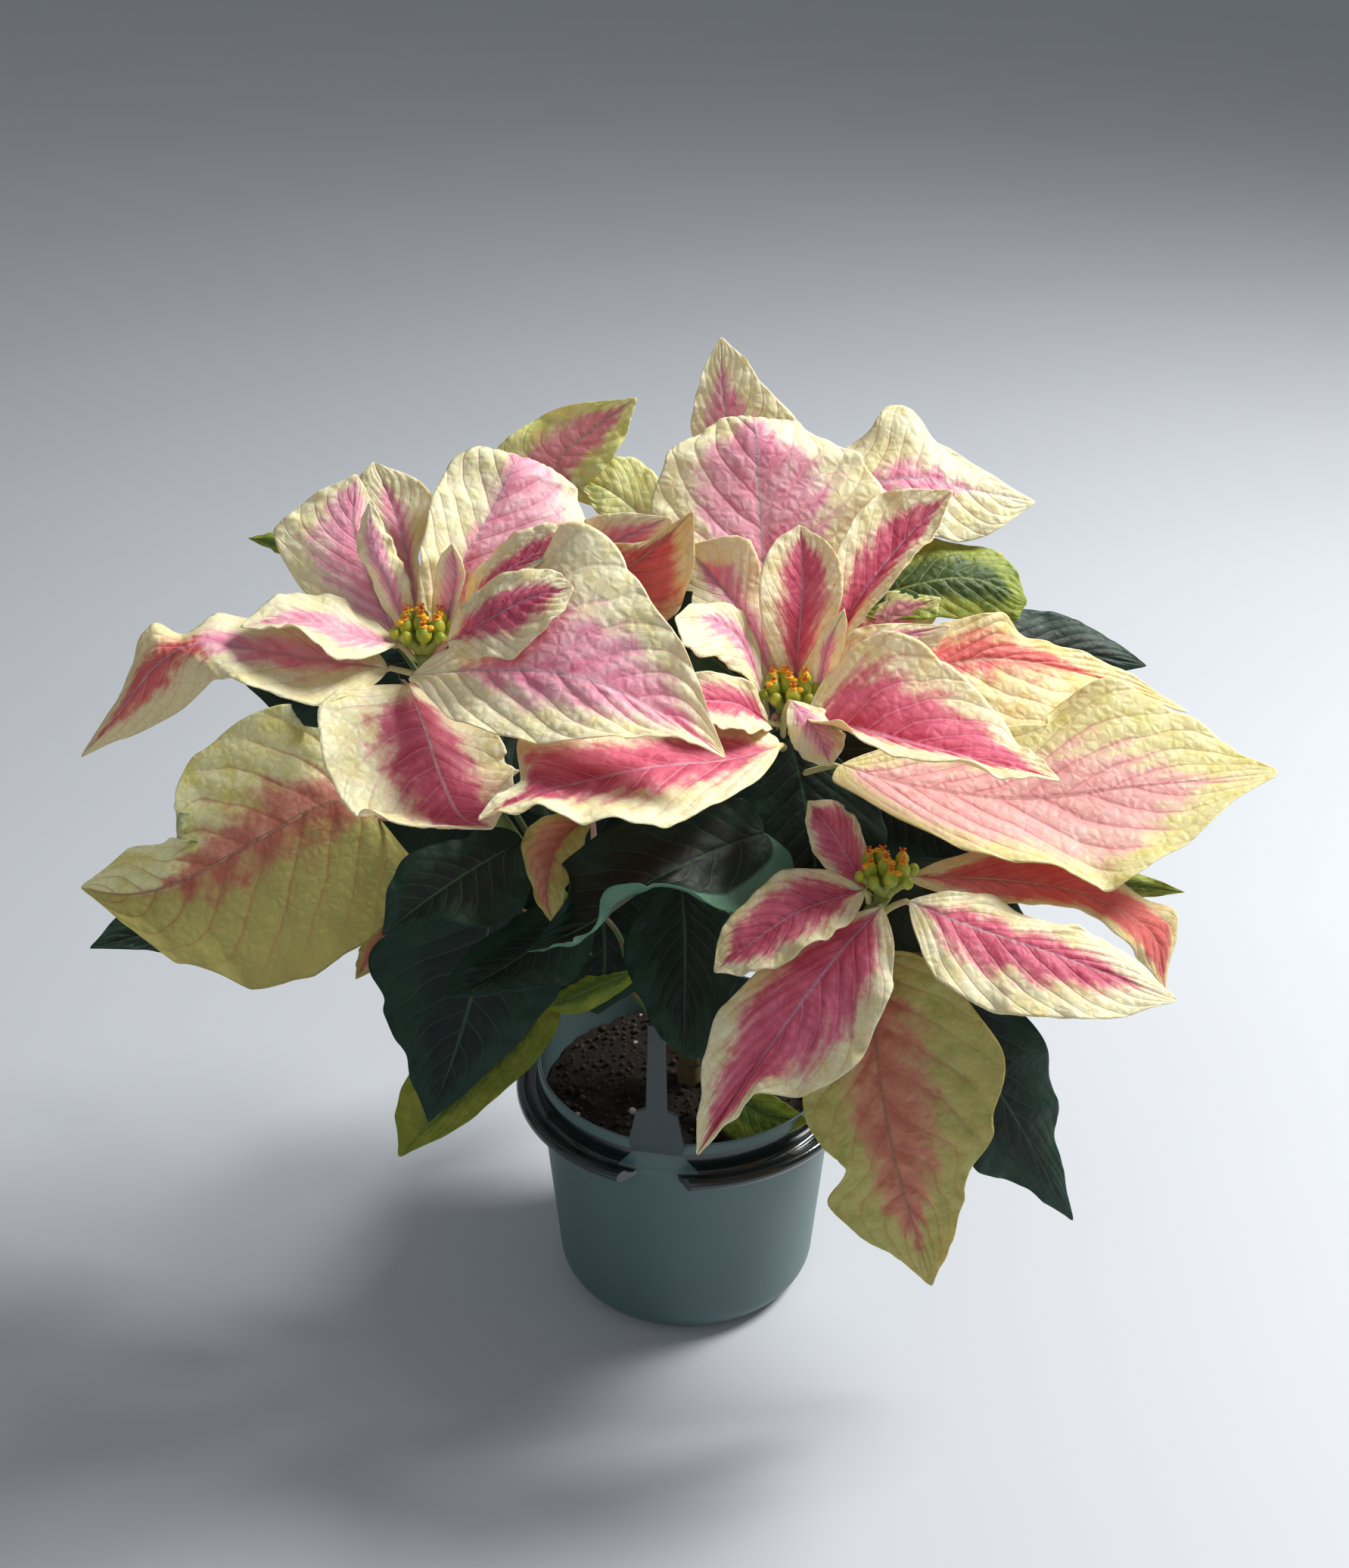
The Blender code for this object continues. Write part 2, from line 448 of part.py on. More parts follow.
def build_soil(collection):
    """Potting mix: it fills the pot to a little under the rim, higher round the stem."""
    radius_top = POT_TOP_RADIUS - POT_WALL - SOIL_GAP
    radius_low = POT_BASE_RADIUS - POT_WALL - 0.0010
    hole_floor = SOIL_TOP - SOIL_HOLE_DEPTH
    profile = [(SOIL_HOLE_RADIUS, hole_floor), (SOIL_HOLE_RADIUS, SOIL_TOP + SOIL_CROWN)]
    profile += [(0.020, SOIL_TOP + SOIL_CROWN * 0.6), (0.042, SOIL_TOP)]
    profile += [(radius_top - 0.001, SOIL_TOP - 0.0014), (radius_top - 0.0004, SOIL_TOP - 0.0030)]
    profile += [(radius_low, POT_CORNER + 0.001), (radius_low - 0.004, POT_CORNER - 0.005)]
    profile += [(radius_low - 0.010, SOIL_BOTTOM), (0.0, SOIL_BOTTOM)]
    profile += [(0.0, hole_floor), (SOIL_HOLE_RADIUS, hole_floor)]
    return turned("soil", profile, SOIL_STEPS, "soil", collection)


def build_support(collection):
    """A flat plastic upright whose wider foot stands in a notch of the flange."""
    thick = SUPPORT_THICK
    foot = SUPPORT_FOOT_HALF
    low = FLANGE_Z - FLANGE_DROP
    bm = bmesh.new()
    bmesh.ops.create_cube(bm, size=1.0)
    upright = [edge for edge in bm.edges if abs(edge.verts[0].co.z - edge.verts[1].co.z) > 0.5]
    bmesh.ops.subdivide_edges(bm, edges=upright, cuts=3, use_grid_fill=True)
    heights = (low, low + 0.004, POT_HEIGHT - 0.001, POT_HEIGHT + 0.003, SUPPORT_TOP)
    halves = (foot, foot, foot, SUPPORT_WIDTH / 2, SUPPORT_WIDTH / 2)
    inner = POT_TOP_RADIUS + SEAT + SUPPORT_GAP
    for vert in bm.verts:
        step = round((vert.co.z + 0.5) * 4)
        side = 1 if vert.co.y > 0 else -1
        vert.co = Vector((inner + (thick if vert.co.x > 0 else 0.0), side * halves[step],
                          heights[step]))
    bmesh.ops.rotate(bm, verts=bm.verts, cent=(0, 0, 0),
                     matrix=Matrix.Rotation(SUPPORT_ANGLE, 3, "Z"))
    mesh = bpy.data.meshes.new("support_upright")
    bm.to_mesh(mesh)
    bm.free()
    item = add_object("support_upright", mesh, "pot", collection)
    bevel = item.modifiers.new("Edges", "BEVEL")
    bevel.width = SUPPORT_EDGE
    bevel.segments = 1
    bevel.limit_method = "ANGLE"
    return item


def smooth_curve(points, share):
    """A point at a share of a smooth curve through the given points."""
    last = len(points) - 1
    place = min(max(share, 0.0), 1.0) * last
    i = min(int(place), last - 1)
    t = place - i
    b, c = points[i], points[i + 1]
    a = points[i - 1] if i > 0 else b * 2 - c
    d = points[i + 2] if i + 2 <= last else c * 2 - b
    return 0.5 * (2 * b + (c - a) * t + (2 * a - 5 * b + 4 * c - d) * t * t
                  + (3 * b - a - 3 * c + d) * t * t * t)


def branch_points(name):
    return [Vector(point) / 1000 for point in BRANCHES[name]]


def build_stem(name, points, radius, top_radius, collection):
    """A round stem as a mesh tube through its points, closed at both ends."""
    curve = bpy.data.curves.new(name, "CURVE")
    curve.dimensions = "3D"
    curve.bevel_depth = radius
    curve.bevel_resolution = 2
    curve.use_fill_caps = True
    count = 4 * (len(points) - 1)
    spline = curve.splines.new("POLY")
    spline.points.add(count)
    for i in range(count + 1):
        share = i / count
        spline.points[i].co = (*smooth_curve(points, share), 1.0)
        spline.points[i].radius = 1.0 + (top_radius / radius - 1.0) * share
    return add_object(name, curve, "stem", collection)


def seen(across, down, depth):
    """The place of a point of the front view that lies at a depth, in metres."""
    u = (across - VIEW_MIDDLE[0]) / VIEW_SCALE
    v = (VIEW_MIDDLE[1] - down) / VIEW_SCALE
    ahead = math.cos(LOOK_DOWN) + math.sin(LOOK_DOWN) * v
    up = math.cos(LOOK_DOWN) * v - math.sin(LOOK_DOWN)
    ray = Matrix.Rotation(-LOOK_ASIDE, 3, "Z") @ Vector((u, ahead, up))
    return EYE + ray * ((depth / 1000 - EYE.y) / ray.y)


def half_width(share):
    """The outline of a pointed oval leaf: 1 where it is widest."""
    widest = WIDEST_POWER / (WIDEST_POWER + TIP_POWER)
    most = widest ** WIDEST_POWER * (1 - widest) ** TIP_POWER
    share = min(max(share, 0.0), 1.0)
    return share ** WIDEST_POWER * (1 - share) ** TIP_POWER / most


def edge_offsets(rib, edge):
    """For each edge point its share and the offset from the midrib, as for a full outline."""
    stations = []
    for share, across, down, depth in edge:
        offset = seen(across, down, depth) - smooth_curve(rib, share)
        stations.append((share, offset / half_width(share)))
    return stations


def offset_at(stations, share):
    """The offset at a share of the leaf, blended between the given stations."""
    if share <= stations[0][0]:
        return stations[0][1]
    for (low, before), (high, after) in zip(stations, stations[1:]):
        if share <= high:
            blend = (share - low) / (high - low)
            blend = blend * blend * (3 - 2 * blend)
            return before.lerp(after, blend)
    return stations[-1][1]


def stalk_start(branch, along, towards):
    """Where a stalk leaves its branch: just off the bark, on the side that it leans to."""
    points = branch_points(branch)
    centre = smooth_curve(points, along)
    ahead = smooth_curve(points, min(along + 0.02, 1.0))
    run = (ahead - smooth_curve(points, along - 0.02)).normalized()
    out = towards - centre
    lean = abs(out.normalized().dot(run))
    out = (out - run * out.dot(run)).normalized()
    return centre + out * (BRANCH_RADIUS + SEAT + STALK_THICK / 2 * lean)


def build_leaf(name, branch, along, colour, rib_seen, left_seen, right_seen, collection):
    """A blade on its stalk: a grid laid over the midrib and the two edges, then thickened."""
    rib = [seen(*point) for point in rib_seen]
    left = edge_offsets(rib, left_seen)
    right = edge_offsets(rib, right_seen)
    start = stalk_start(branch, along, rib[0])
    rows = STALK_ROWS + BLADE_ROWS
    bm = bmesh.new()
    bmesh.ops.create_grid(bm, x_segments=BLADE_COLUMNS, y_segments=rows, size=1.0)
    stalk_share = STALK_ROWS / rows
    stalk_verts = []
    first_run = (smooth_curve(rib, 0.04) - rib[0]).normalized()
    for vert in bm.verts:
        side, place = vert.co.x, (vert.co.y + 1) / 2
        share = (place - stalk_share) / (1 - stalk_share)
        offset = offset_at(left, share) if side < 0 else offset_at(right, share)
        if share < 0.001:
            run = (rib[0] - start).normalized()
            cross = offset_at(right, 0.0) - offset_at(left, 0.0)
            cross = (cross - run * cross.dot(run)).normalized()
            ease = place / stalk_share
            reach = (rib[0] - start).length * STALK_BOW
            middle = start.lerp(rib[0], ease) - first_run * reach * ease * (1 - ease)
            vert.co = middle + cross * side * STALK_HALF_WIDTH
            stalk_verts.append(vert.index)
        else:
            least = STALK_HALF_WIDTH * (1 - share) + TIP_HALF_WIDTH * share
            reach = offset * half_width(share)
            if reach.length < least:
                reach = offset.normalized() * least
            vert.co = smooth_curve(rib, share) + reach * abs(side)
    mesh = bpy.data.meshes.new(name)
    bm.to_mesh(mesh)
    bm.free()
    item = add_object(name, mesh, colour, collection)
    mesh.shade_smooth()
    group = item.vertex_groups.new(name="stalk")
    group.add(stalk_verts, 1.0, "REPLACE")
    solidify = item.modifiers.new("Thickness", "SOLIDIFY")
    solidify.thickness = STALK_THICK
    solidify.offset = 0.0
    solidify.vertex_group = "stalk"
    solidify.thickness_vertex_group = BLADE_THICK / STALK_THICK
    return item


def build_flowers(branch, collection, cutters):
    """The small balls of true flowers on their common seat at a branch's tip."""
    tip = branch_points(branch)[-1]
    mesh = bpy.data.meshes.new("flowers_" + branch)
    bm = bmesh.new()
    bmesh.ops.create_cone(bm, cap_ends=True, segments=10, radius1=FLOWER_SEAT_RADIUS,
                          radius2=FLOWER_SEAT_RADIUS * FLOWER_SEAT_FLARE,
                          depth=FLOWER_SEAT_TOP - SEAT)
    middle = tip + Vector((0, 0, (FLOWER_SEAT_TOP + SEAT) / 2 + FLOWER_SEAT_SINK))
    bmesh.ops.translate(bm, verts=bm.verts, vec=middle)
    bm.to_mesh(mesh)
    bm.free()
    item = add_object("flowers_" + branch, mesh, "flower", collection)
    for i, (across, depth, up, radius) in enumerate(FLOWER_BALLS):
        ball = bpy.data.meshes.new("flower_ball")
        bm = bmesh.new()
        bmesh.ops.create_uvsphere(bm, u_segments=10, v_segments=6, radius=radius / 1000)
        bmesh.ops.scale(bm, verts=bm.verts, vec=(1.0, 1.0, FLOWER_BALL_STRETCH))
        bmesh.ops.translate(bm, verts=bm.verts, vec=tip + Vector((across, depth, up)) / 1000)
        bm.to_mesh(ball)
        bm.free()
        union = item.modifiers.new("Ball", "BOOLEAN")
        union.operation = "UNION"
        union.solver = "EXACT"
        union.object = add_cutter("%s_ball_%d" % (branch, i + 1), ball, cutters)
    return item


def main():
    clear_scene()
    plant = make_collection("potted_poinsettia")
    cutters = make_collection("cutters")
    build_pot(plant, cutters)
    build_soil(plant)
    build_support(plant)
    main_points = [Vector(point) / 1000 for point in MAIN_STEM]
    build_stem("main_stem", main_points, STEM_RADIUS, STEM_RADIUS * 0.9, plant)
    for branch in BRANCHES:
        build_stem("branch_" + branch, branch_points(branch), BRANCH_RADIUS, BRANCH_RADIUS, plant)
        build_flowers(branch, plant, cutters)
    for name, (branch, along, colour, rib, left, right) in LEAVES.items():
        build_leaf(name, branch, along, colour, rib, left, right, plant)


main()
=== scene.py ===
"""The looks of a potted poinsettia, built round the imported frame. Metres, +Z up."""
import math

import bmesh
import bpy
from mathutils import Matrix, Vector, noise


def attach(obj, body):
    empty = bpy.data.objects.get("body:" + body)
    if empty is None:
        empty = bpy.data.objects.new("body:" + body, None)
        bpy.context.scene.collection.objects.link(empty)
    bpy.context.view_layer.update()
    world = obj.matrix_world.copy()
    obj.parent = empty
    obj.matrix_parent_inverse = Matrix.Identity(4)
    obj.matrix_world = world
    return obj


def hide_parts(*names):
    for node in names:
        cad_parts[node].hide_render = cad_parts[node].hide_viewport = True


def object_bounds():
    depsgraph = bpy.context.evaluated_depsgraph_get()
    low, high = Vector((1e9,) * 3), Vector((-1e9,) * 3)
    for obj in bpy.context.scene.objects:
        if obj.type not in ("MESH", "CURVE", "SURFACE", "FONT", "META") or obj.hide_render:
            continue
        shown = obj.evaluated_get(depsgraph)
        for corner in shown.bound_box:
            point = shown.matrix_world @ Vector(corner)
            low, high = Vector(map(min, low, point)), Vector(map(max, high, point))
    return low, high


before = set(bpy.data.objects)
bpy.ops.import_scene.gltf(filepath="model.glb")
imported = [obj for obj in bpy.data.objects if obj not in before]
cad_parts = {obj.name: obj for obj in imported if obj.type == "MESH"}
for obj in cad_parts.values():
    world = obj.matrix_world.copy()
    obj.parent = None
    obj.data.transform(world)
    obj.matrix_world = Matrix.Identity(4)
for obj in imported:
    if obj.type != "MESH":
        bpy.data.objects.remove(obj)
cad_low, cad_high = [Vector(corner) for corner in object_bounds()]

# Camera, floor and lights. The eye stands a little above the plant and looks down on it; the
# floor is plain and pale, a large soft light comes from behind on the right, and a weaker one
# from the front left opens the shadows.
EYE = Vector((0.0, -0.609, 0.540))
LOOK_DOWN = math.radians(28.24)
LOOK_ASIDE = math.radians(-0.44)
VIEW_SCALE = 2600.0
VIEW_MIDDLE = (891.5, 1036.0)
SENSOR = 36.0
FLOOR_HALF = 60.0


def linear(red, green, blue):
    """A colour as seen on a screen, 0 to 255, in the linear values that shaders take."""
    values = [part / 255 for part in (red, green, blue)]
    curve = [v / 12.92 if v <= 0.04045 else ((v + 0.055) / 1.055) ** 2.4 for v in values]
    return (*curve, 1.0)


class Finish:
    """A socket of a material; arithmetic on it adds the Math nodes."""

    def __init__(self, tree, socket=None):
        self.tree = tree
        self.socket = socket

    def node(self, kind, settings=None, links=None, output=0):
        """Any node: its settings are set first, then the values or links of its sockets."""
        made = self.tree.nodes.new(kind)
        for name, value in (settings or {}).items():
            if name == "stops":
                elements = made.color_ramp.elements
                while len(elements) < len(value):
                    elements.new(1.0)
                for element, (place, colour) in zip(elements, value):
                    element.position = place
                    element.color = colour
            else:
                setattr(made, name, value)
        for name, value in (links or {}).items():
            if isinstance(value, Finish):
                self.tree.links.new(value.socket, made.inputs[name])
            else:
                made.inputs[name].default_value = value
        return Finish(self.tree, made.outputs[output])

    def maths(self, operation, *others):
        links = {0: self}
        for i, other in enumerate(others):
            links[i + 1] = other
        return self.node("ShaderNodeMath", {"operation": operation}, links)

    def __add__(self, other):
        return self.maths("ADD", other)

    __radd__ = __add__

    def __sub__(self, other):
        return self.maths("SUBTRACT", other)

    def __rsub__(self, other):
        return self * -1 + other

    def __mul__(self, other):
        return self.maths("MULTIPLY", other)

    __rmul__ = __mul__

    def __truediv__(self, other):
        return self.maths("DIVIDE", other)

    def __abs__(self):
        return self.maths("ABSOLUTE")

    def clamp(self):
        return self.node("ShaderNodeClamp", links={"Value": self})

    def step(self, start, end):
        """0 below start, 1 above end, with a smooth rise between them."""
        settings = {"interpolation_type": "SMOOTHSTEP"}
        return self.node("ShaderNodeMapRange", settings,
                         {"Value": self, "From Min": start, "From Max": end})

    def mix(self, first, second, blend="MIX"):
        """A colour between two colours, with this value as the share of the second."""
        settings = {"data_type": "RGBA", "blend_type": blend}
        return self.node("ShaderNodeMix", settings, {0: self, 6: first, 7: second}, 2)

    def noise(self, vector, scale, detail=3.0, roughness=0.5):
        links = {"Vector": vector, "Scale": scale, "Detail": detail, "Roughness": roughness}
        return self.node("ShaderNodeTexNoise", None, links)

    def bump(self, height, strength, distance):
        links = {"Height": height, "Strength": strength, "Distance": distance}
        return self.node("ShaderNodeBump", None, links)


def new_finish(name, **fixed):
    """A material, the first node handle of its tree, and its shader with its fixed values."""
    material = bpy.data.materials.new(name)
    material.use_nodes = True
    tree = material.node_tree
    shader = tree.nodes["Principled BSDF"]
    for socket, value in fixed.items():
        shader.inputs[socket.replace("_", " ")].default_value = value
    return material, Finish(tree), shader


def feed(shader, socket, value):
    value.tree.links.new(value.socket, shader.inputs[socket])


def object_place(finish):
    return finish.node("ShaderNodeTexCoord", output=3)


camera_data = bpy.data.cameras.new("camera")
camera_data.sensor_width = SENSOR
camera_data.lens = VIEW_SCALE * SENSOR / 2072
camera = bpy.data.objects.new("camera", camera_data)
camera.location = EYE
camera.rotation_euler = (math.pi / 2 - LOOK_DOWN, 0.0, -LOOK_ASIDE)
bpy.context.scene.collection.objects.link(camera)
bpy.context.scene.camera = camera

floor_material, finish, shader = new_finish("floor_finish", Roughness=0.6)
cloud = finish.noise(object_place(finish), 3.0)
feed(shader, "Base Color", cloud.mix(linear(198, 203, 210), linear(205, 210, 217)))
bm = bmesh.new()
bmesh.ops.create_grid(bm, x_segments=1, y_segments=1, size=FLOOR_HALF)
floor_mesh = bpy.data.meshes.new("floor")
bm.to_mesh(floor_mesh)
bm.free()
floor_mesh.materials.append(floor_material)
floor = bpy.data.objects.new("floor", floor_mesh)
bpy.context.scene.collection.objects.link(floor)


def add_light(name, place, aim, size, power, colour):
    data = bpy.data.lights.new(name, "AREA")
    data.shape = "DISK"
    data.size = size
    data.energy = power
    data.color = colour
    light = bpy.data.objects.new(name, data)
    light.location = place
    light.rotation_euler = (Vector(aim) - Vector(place)).to_track_quat("-Z", "Y").to_euler()
    bpy.context.scene.collection.objects.link(light)


add_light("key_light", (1.05, 0.35, 1.35), (0.0, 0.0, 0.18), 0.62, 38.0, (1.0, 0.985, 0.95))
add_light("fill_light", (-0.5, -1.6, 1.1), (0.0, 0.0, 0.15), 1.4, 3.4, (0.93, 0.97, 1.0))
world = bpy.data.worlds.new("studio")
world.use_nodes = True
world.node_tree.nodes["Background"].inputs["Color"].default_value = (0.80, 0.84, 0.90, 1.0)
world.node_tree.nodes["Background"].inputs["Strength"].default_value = 0.24
bpy.context.scene.world = world
bpy.context.scene.view_settings.view_transform = "Standard"

# The pot: a thin injection-moulded nursery pot of grey-green plastic. It has a rounded foot
# with drain holes, a gutter-shaped flange with a rolled bead round its edge, a collar above it,
# and a notch at the front where the upright support clips in.
POT_HEIGHT = 0.098
POT_BASE_RADIUS = 0.050
POT_TOP_RADIUS = 0.0565
POT_CORNER = 0.012
POT_WALL = 0.0014
LIP_ROUND = 0.0004
FLANGE_RADIUS = 0.065
FLANGE_Z = 0.0885
FLANGE_DROP = 0.005
FLANGE_BEAD = 0.0022
GUTTER_DEPTH = 0.0030
GUTTER_FOOT = 0.0022
POT_STEPS = 144
DRAIN_RADIUS = 0.004
DRAIN_RING = 0.030
DRAIN_HOLES = 5
NOTCH_OUTER_HALF = 0.0165
NOTCH_INNER_HALF = 0.0075
# Top of the painted shade on the collar's outer wall, and the height over which it fades out
PAINTED_SHADE_TOP = 0.0945
PAINTED_SHADE_FADE = 0.0012
NOTCH_OVERRUN = 0.002
NOTCH_DEPTH = 0.012
SUPPORT_ANGLE = math.radians(-100.5)


def arc(centre, radius, start, end, count):
    """Points of an arc in the profile's plane, in degrees."""
    points = []
    for i in range(count + 1):
        angle = math.radians(start + (end - start) * i / count)
        points.append((centre[0] + radius * math.cos(angle), centre[1] + radius * math.sin(angle)))
    return points


def spin_profile(bm, profile, steps):
    """A closed solid: the profile runs from the axis back to the axis and is spun round Z."""
    verts = [bm.verts.new((radius, 0.0, height)) for radius, height in profile]
    edges = [bm.edges.new(pair) for pair in zip(verts, verts[1:])]
    bmesh.ops.spin(bm, geom=verts + edges, cent=(0, 0, 0), axis=(0, 0, 1), steps=steps,
                   angle=2 * math.pi, use_merge=True)
    bmesh.ops.remove_doubles(bm, verts=bm.verts, dist=1e-6)
    bmesh.ops.recalc_face_normals(bm, faces=bm.faces)


def make_piece(name, bm, materials, nodes=()):
    """Turn a bmesh into a smooth piece that rides on the plant's one body."""
    mesh = bpy.data.meshes.new(name)
    bm.to_mesh(mesh)
    bm.free()
    for material in materials:
        mesh.materials.append(material)
    mesh.shade_smooth()
    piece = bpy.data.objects.new(name, mesh)
    bpy.context.scene.collection.objects.link(piece)
    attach(piece, "root")
    if nodes:
        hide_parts(*nodes)
    return piece


def carve(piece, cutters):
    """Cut shapes out of a piece, keep the result as its mesh and drop the cutters."""
    for cutter in cutters:
        boolean = piece.modifiers.new("Cut", "BOOLEAN")
        boolean.operation = "DIFFERENCE"
        boolean.solver = "EXACT"
        boolean.object = cutter
    ready = piece.evaluated_get(bpy.context.evaluated_depsgraph_get())
    piece.data = bpy.data.meshes.new_from_object(ready)
    piece.modifiers.clear()
    for cutter in cutters:
        bpy.data.objects.remove(cutter, do_unlink=True)


def cutter_object(bm):
    mesh = bpy.data.meshes.new("cutter")
    bm.to_mesh(mesh)
    bm.free()
    cutter = bpy.data.objects.new("cutter", mesh)
    bpy.context.scene.collection.objects.link(cutter)
    return cutter


bore = POT_TOP_RADIUS - POT_WALL
bead_centre = (FLANGE_RADIUS - FLANGE_BEAD, FLANGE_Z - FLANGE_DROP + FLANGE_BEAD)
corner = (POT_BASE_RADIUS - POT_CORNER, POT_CORNER)
profile = [(0.0, POT_WALL)]
profile += arc(corner, POT_CORNER - POT_WALL, -90, 0, 10)
profile += [(bore, FLANGE_Z - FLANGE_DROP + 0.001)]
profile += arc((bore + POT_WALL / 2, POT_HEIGHT - POT_WALL / 2), POT_WALL / 2, 180, 0, 8)
profile += arc((POT_TOP_RADIUS + GUTTER_FOOT, FLANGE_Z - GUTTER_DEPTH + GUTTER_FOOT), GUTTER_FOOT,
               180, 270, 5)
profile += arc(bead_centre, FLANGE_BEAD, 165, -90, 18)
profile += [(POT_TOP_RADIUS - LIP_ROUND, FLANGE_Z - FLANGE_DROP)]
profile += arc(corner, POT_CORNER, 0, -90, 12)
profile += [(0.0, 0.0)]
bm = bmesh.new()
spin_profile(bm, profile, POT_STEPS)

pot_material, finish, shader = new_finish("pot_plastic", Coat_Roughness=0.12)
place = object_place(finish)
dust = finish.noise(place, 38.0, 5.0, 0.65)
grain = finish.noise(place, 900.0, 2.0)
height = finish.node("ShaderNodeSeparateXYZ", links={0: place}, output=2)
lower = height.step(0.006, 0.075)
shade = dust.mix(linear(72, 98, 99), linear(84, 110, 110))
shade = (lower * 0.35).mix(shade, linear(104, 128, 127))
scuff = finish.noise(place, 210.0, 4.0, 0.7).step(0.66, 0.74)
# Painted shade and painted reflection: the flange, its bead and the collar's lower outer wall are coloured
# near-black and glossy, for their shade and the dark foliage they reflect
out = finish.node("ShaderNodeVectorMath", {"operation": "LENGTH"},
                  {0: finish.node("ShaderNodeVectorMath", {"operation": "MULTIPLY"},
                                  {0: place, 1: (1.0, 1.0, 0.0)})}, 1)
flange_painted_shade = out.step(POT_TOP_RADIUS + 0.0006, POT_TOP_RADIUS + 0.0014)
seat = (math.cos(SUPPORT_ANGLE), math.sin(SUPPORT_ANGLE), 0.0)
seat_out = finish.node("ShaderNodeVectorMath", {"operation": "DOT_PRODUCT"}, {0: place, 1: seat}, 1)
seat_aside = finish.node("ShaderNodeVectorMath", {"operation": "DOT_PRODUCT"},
                         {0: place, 1: (-seat[1], seat[0], 0.0)}, 1)
wedge = (PAINTED_SHADE_TOP - height) * 0.8 + NOTCH_INNER_HALF
clear = (abs(seat_aside) - wedge).step(0.0, 0.0006).maths("MAXIMUM", 1 - seat_out.step(0.0, 0.01))
collar_painted_shade = out.step(POT_TOP_RADIUS - 0.0009, POT_TOP_RADIUS - 0.0004) * clear
collar_painted_shade = collar_painted_shade * (1 - height.step(PAINTED_SHADE_TOP - PAINTED_SHADE_FADE, PAINTED_SHADE_TOP)) * height.step(0.0830, 0.0836)
flange_painted_shade = flange_painted_shade.maths("MAXIMUM", collar_painted_shade)
shade = (scuff * 0.25).mix(shade, linear(150, 163, 160))
# The near-black here is painted shade and painted reflection
feed(shader, "Base Color", (flange_painted_shade * 0.95).mix(shade, linear(17, 27, 28)))
feed(shader, "Roughness", (dust * 0.16 + 0.30) * (1 - flange_painted_shade * 0.62))
feed(shader, "Coat Weight", flange_painted_shade * 0.8)
feed(shader, "Normal", finish.bump(grain + dust * 0.6, 0.14, 0.0004))

pot = make_piece("pot_body", bm, [pot_material], ["pot"])
cutters = []
for i in range(DRAIN_HOLES):
    angle = 2 * math.pi * (i + 0.5) / DRAIN_HOLES
    bm = bmesh.new()
    bmesh.ops.create_cone(bm, cap_ends=True, segments=24, radius1=DRAIN_RADIUS,
                          radius2=DRAIN_RADIUS, depth=POT_WALL * 7)
    spot = Vector((DRAIN_RING * math.cos(angle), DRAIN_RING * math.sin(angle), 0.0))
    bmesh.ops.translate(bm, verts=bm.verts, vec=spot)
    cutters.append(cutter_object(bm))
bm = bmesh.new()
bmesh.ops.create_cube(bm, size=1.0)
for vert in bm.verts:
    outside = vert.co.x > 0
    radius = FLANGE_RADIUS + NOTCH_OVERRUN if outside else POT_TOP_RADIUS + LIP_ROUND
    half = NOTCH_OUTER_HALF if outside else NOTCH_INNER_HALF
    side = 1 if vert.co.y > 0 else -1
    vert.co = Vector((radius, half * side, FLANGE_Z - NOTCH_OVERRUN + NOTCH_DEPTH * vert.co.z))
bmesh.ops.rotate(bm, verts=bm.verts, matrix=Matrix.Rotation(SUPPORT_ANGLE, 3, "Z"))
cutters.append(cutter_object(bm))
carve(pot, cutters)
pot.data.shade_smooth()
pot.data.set_sharp_from_angle(angle=math.radians(38))

# The upright support: a flat plastic strip moulded in the pot's colour. Its wide foot clips on
# the collar above the flange's notch, and the strip rises in front of the stems.
SUPPORT_STATIONS = ((0.0950, 0.0088), (0.0990, 0.0104), (0.1125, 0.0077), (0.1137, 0.0035),
                    (0.150, 0.0029))
SUPPORT_THICK = 0.0016
SUPPORT_EDGE = 0.0003
SUPPORT_GAP = 0.0002

bm = bmesh.new()
bmesh.ops.create_cube(bm, size=1.0)
upright = [edge for edge in bm.edges if abs(edge.verts[0].co.z - edge.verts[1].co.z) > 0.5]
bmesh.ops.subdivide_edges(bm, edges=upright, cuts=3, use_grid_fill=True)
for vert in bm.verts:
    height, half = SUPPORT_STATIONS[round((vert.co.z + 0.5) * 4)]
    side = 1 if vert.co.y > 0 else -1
    radius = POT_TOP_RADIUS + SUPPORT_GAP + (SUPPORT_THICK if vert.co.x > 0 else 0.0)
    vert.co = Vector((radius, side * half, height))
sharp = [edge for edge in bm.edges if edge.calc_face_angle(0.0) > 0.8]
bmesh.ops.bevel(bm, geom=sharp, offset=SUPPORT_EDGE, affect="EDGES", segments=3, profile=0.5,
                material=-1)
bmesh.ops.rotate(bm, verts=bm.verts, matrix=Matrix.Rotation(SUPPORT_ANGLE, 3, "Z"))
support_material, finish, shader = new_finish("support_plastic", Coat_Weight=0.2, Coat_Roughness=0.15)
place = object_place(finish)
dust = finish.noise(place, 60.0, 4.0, 0.65)
feed(shader, "Base Color", dust.mix(linear(52, 62, 64), linear(70, 82, 83)))
feed(shader, "Roughness", dust * 0.2 + 0.3)
feed(shader, "Normal", finish.bump(finish.noise(place, 900.0, 2.0), 0.12, 0.0004))
support = make_piece("support_strip", bm, [support_material], ["support_upright"])
support.data.set_sharp_from_angle(angle=math.radians(50))

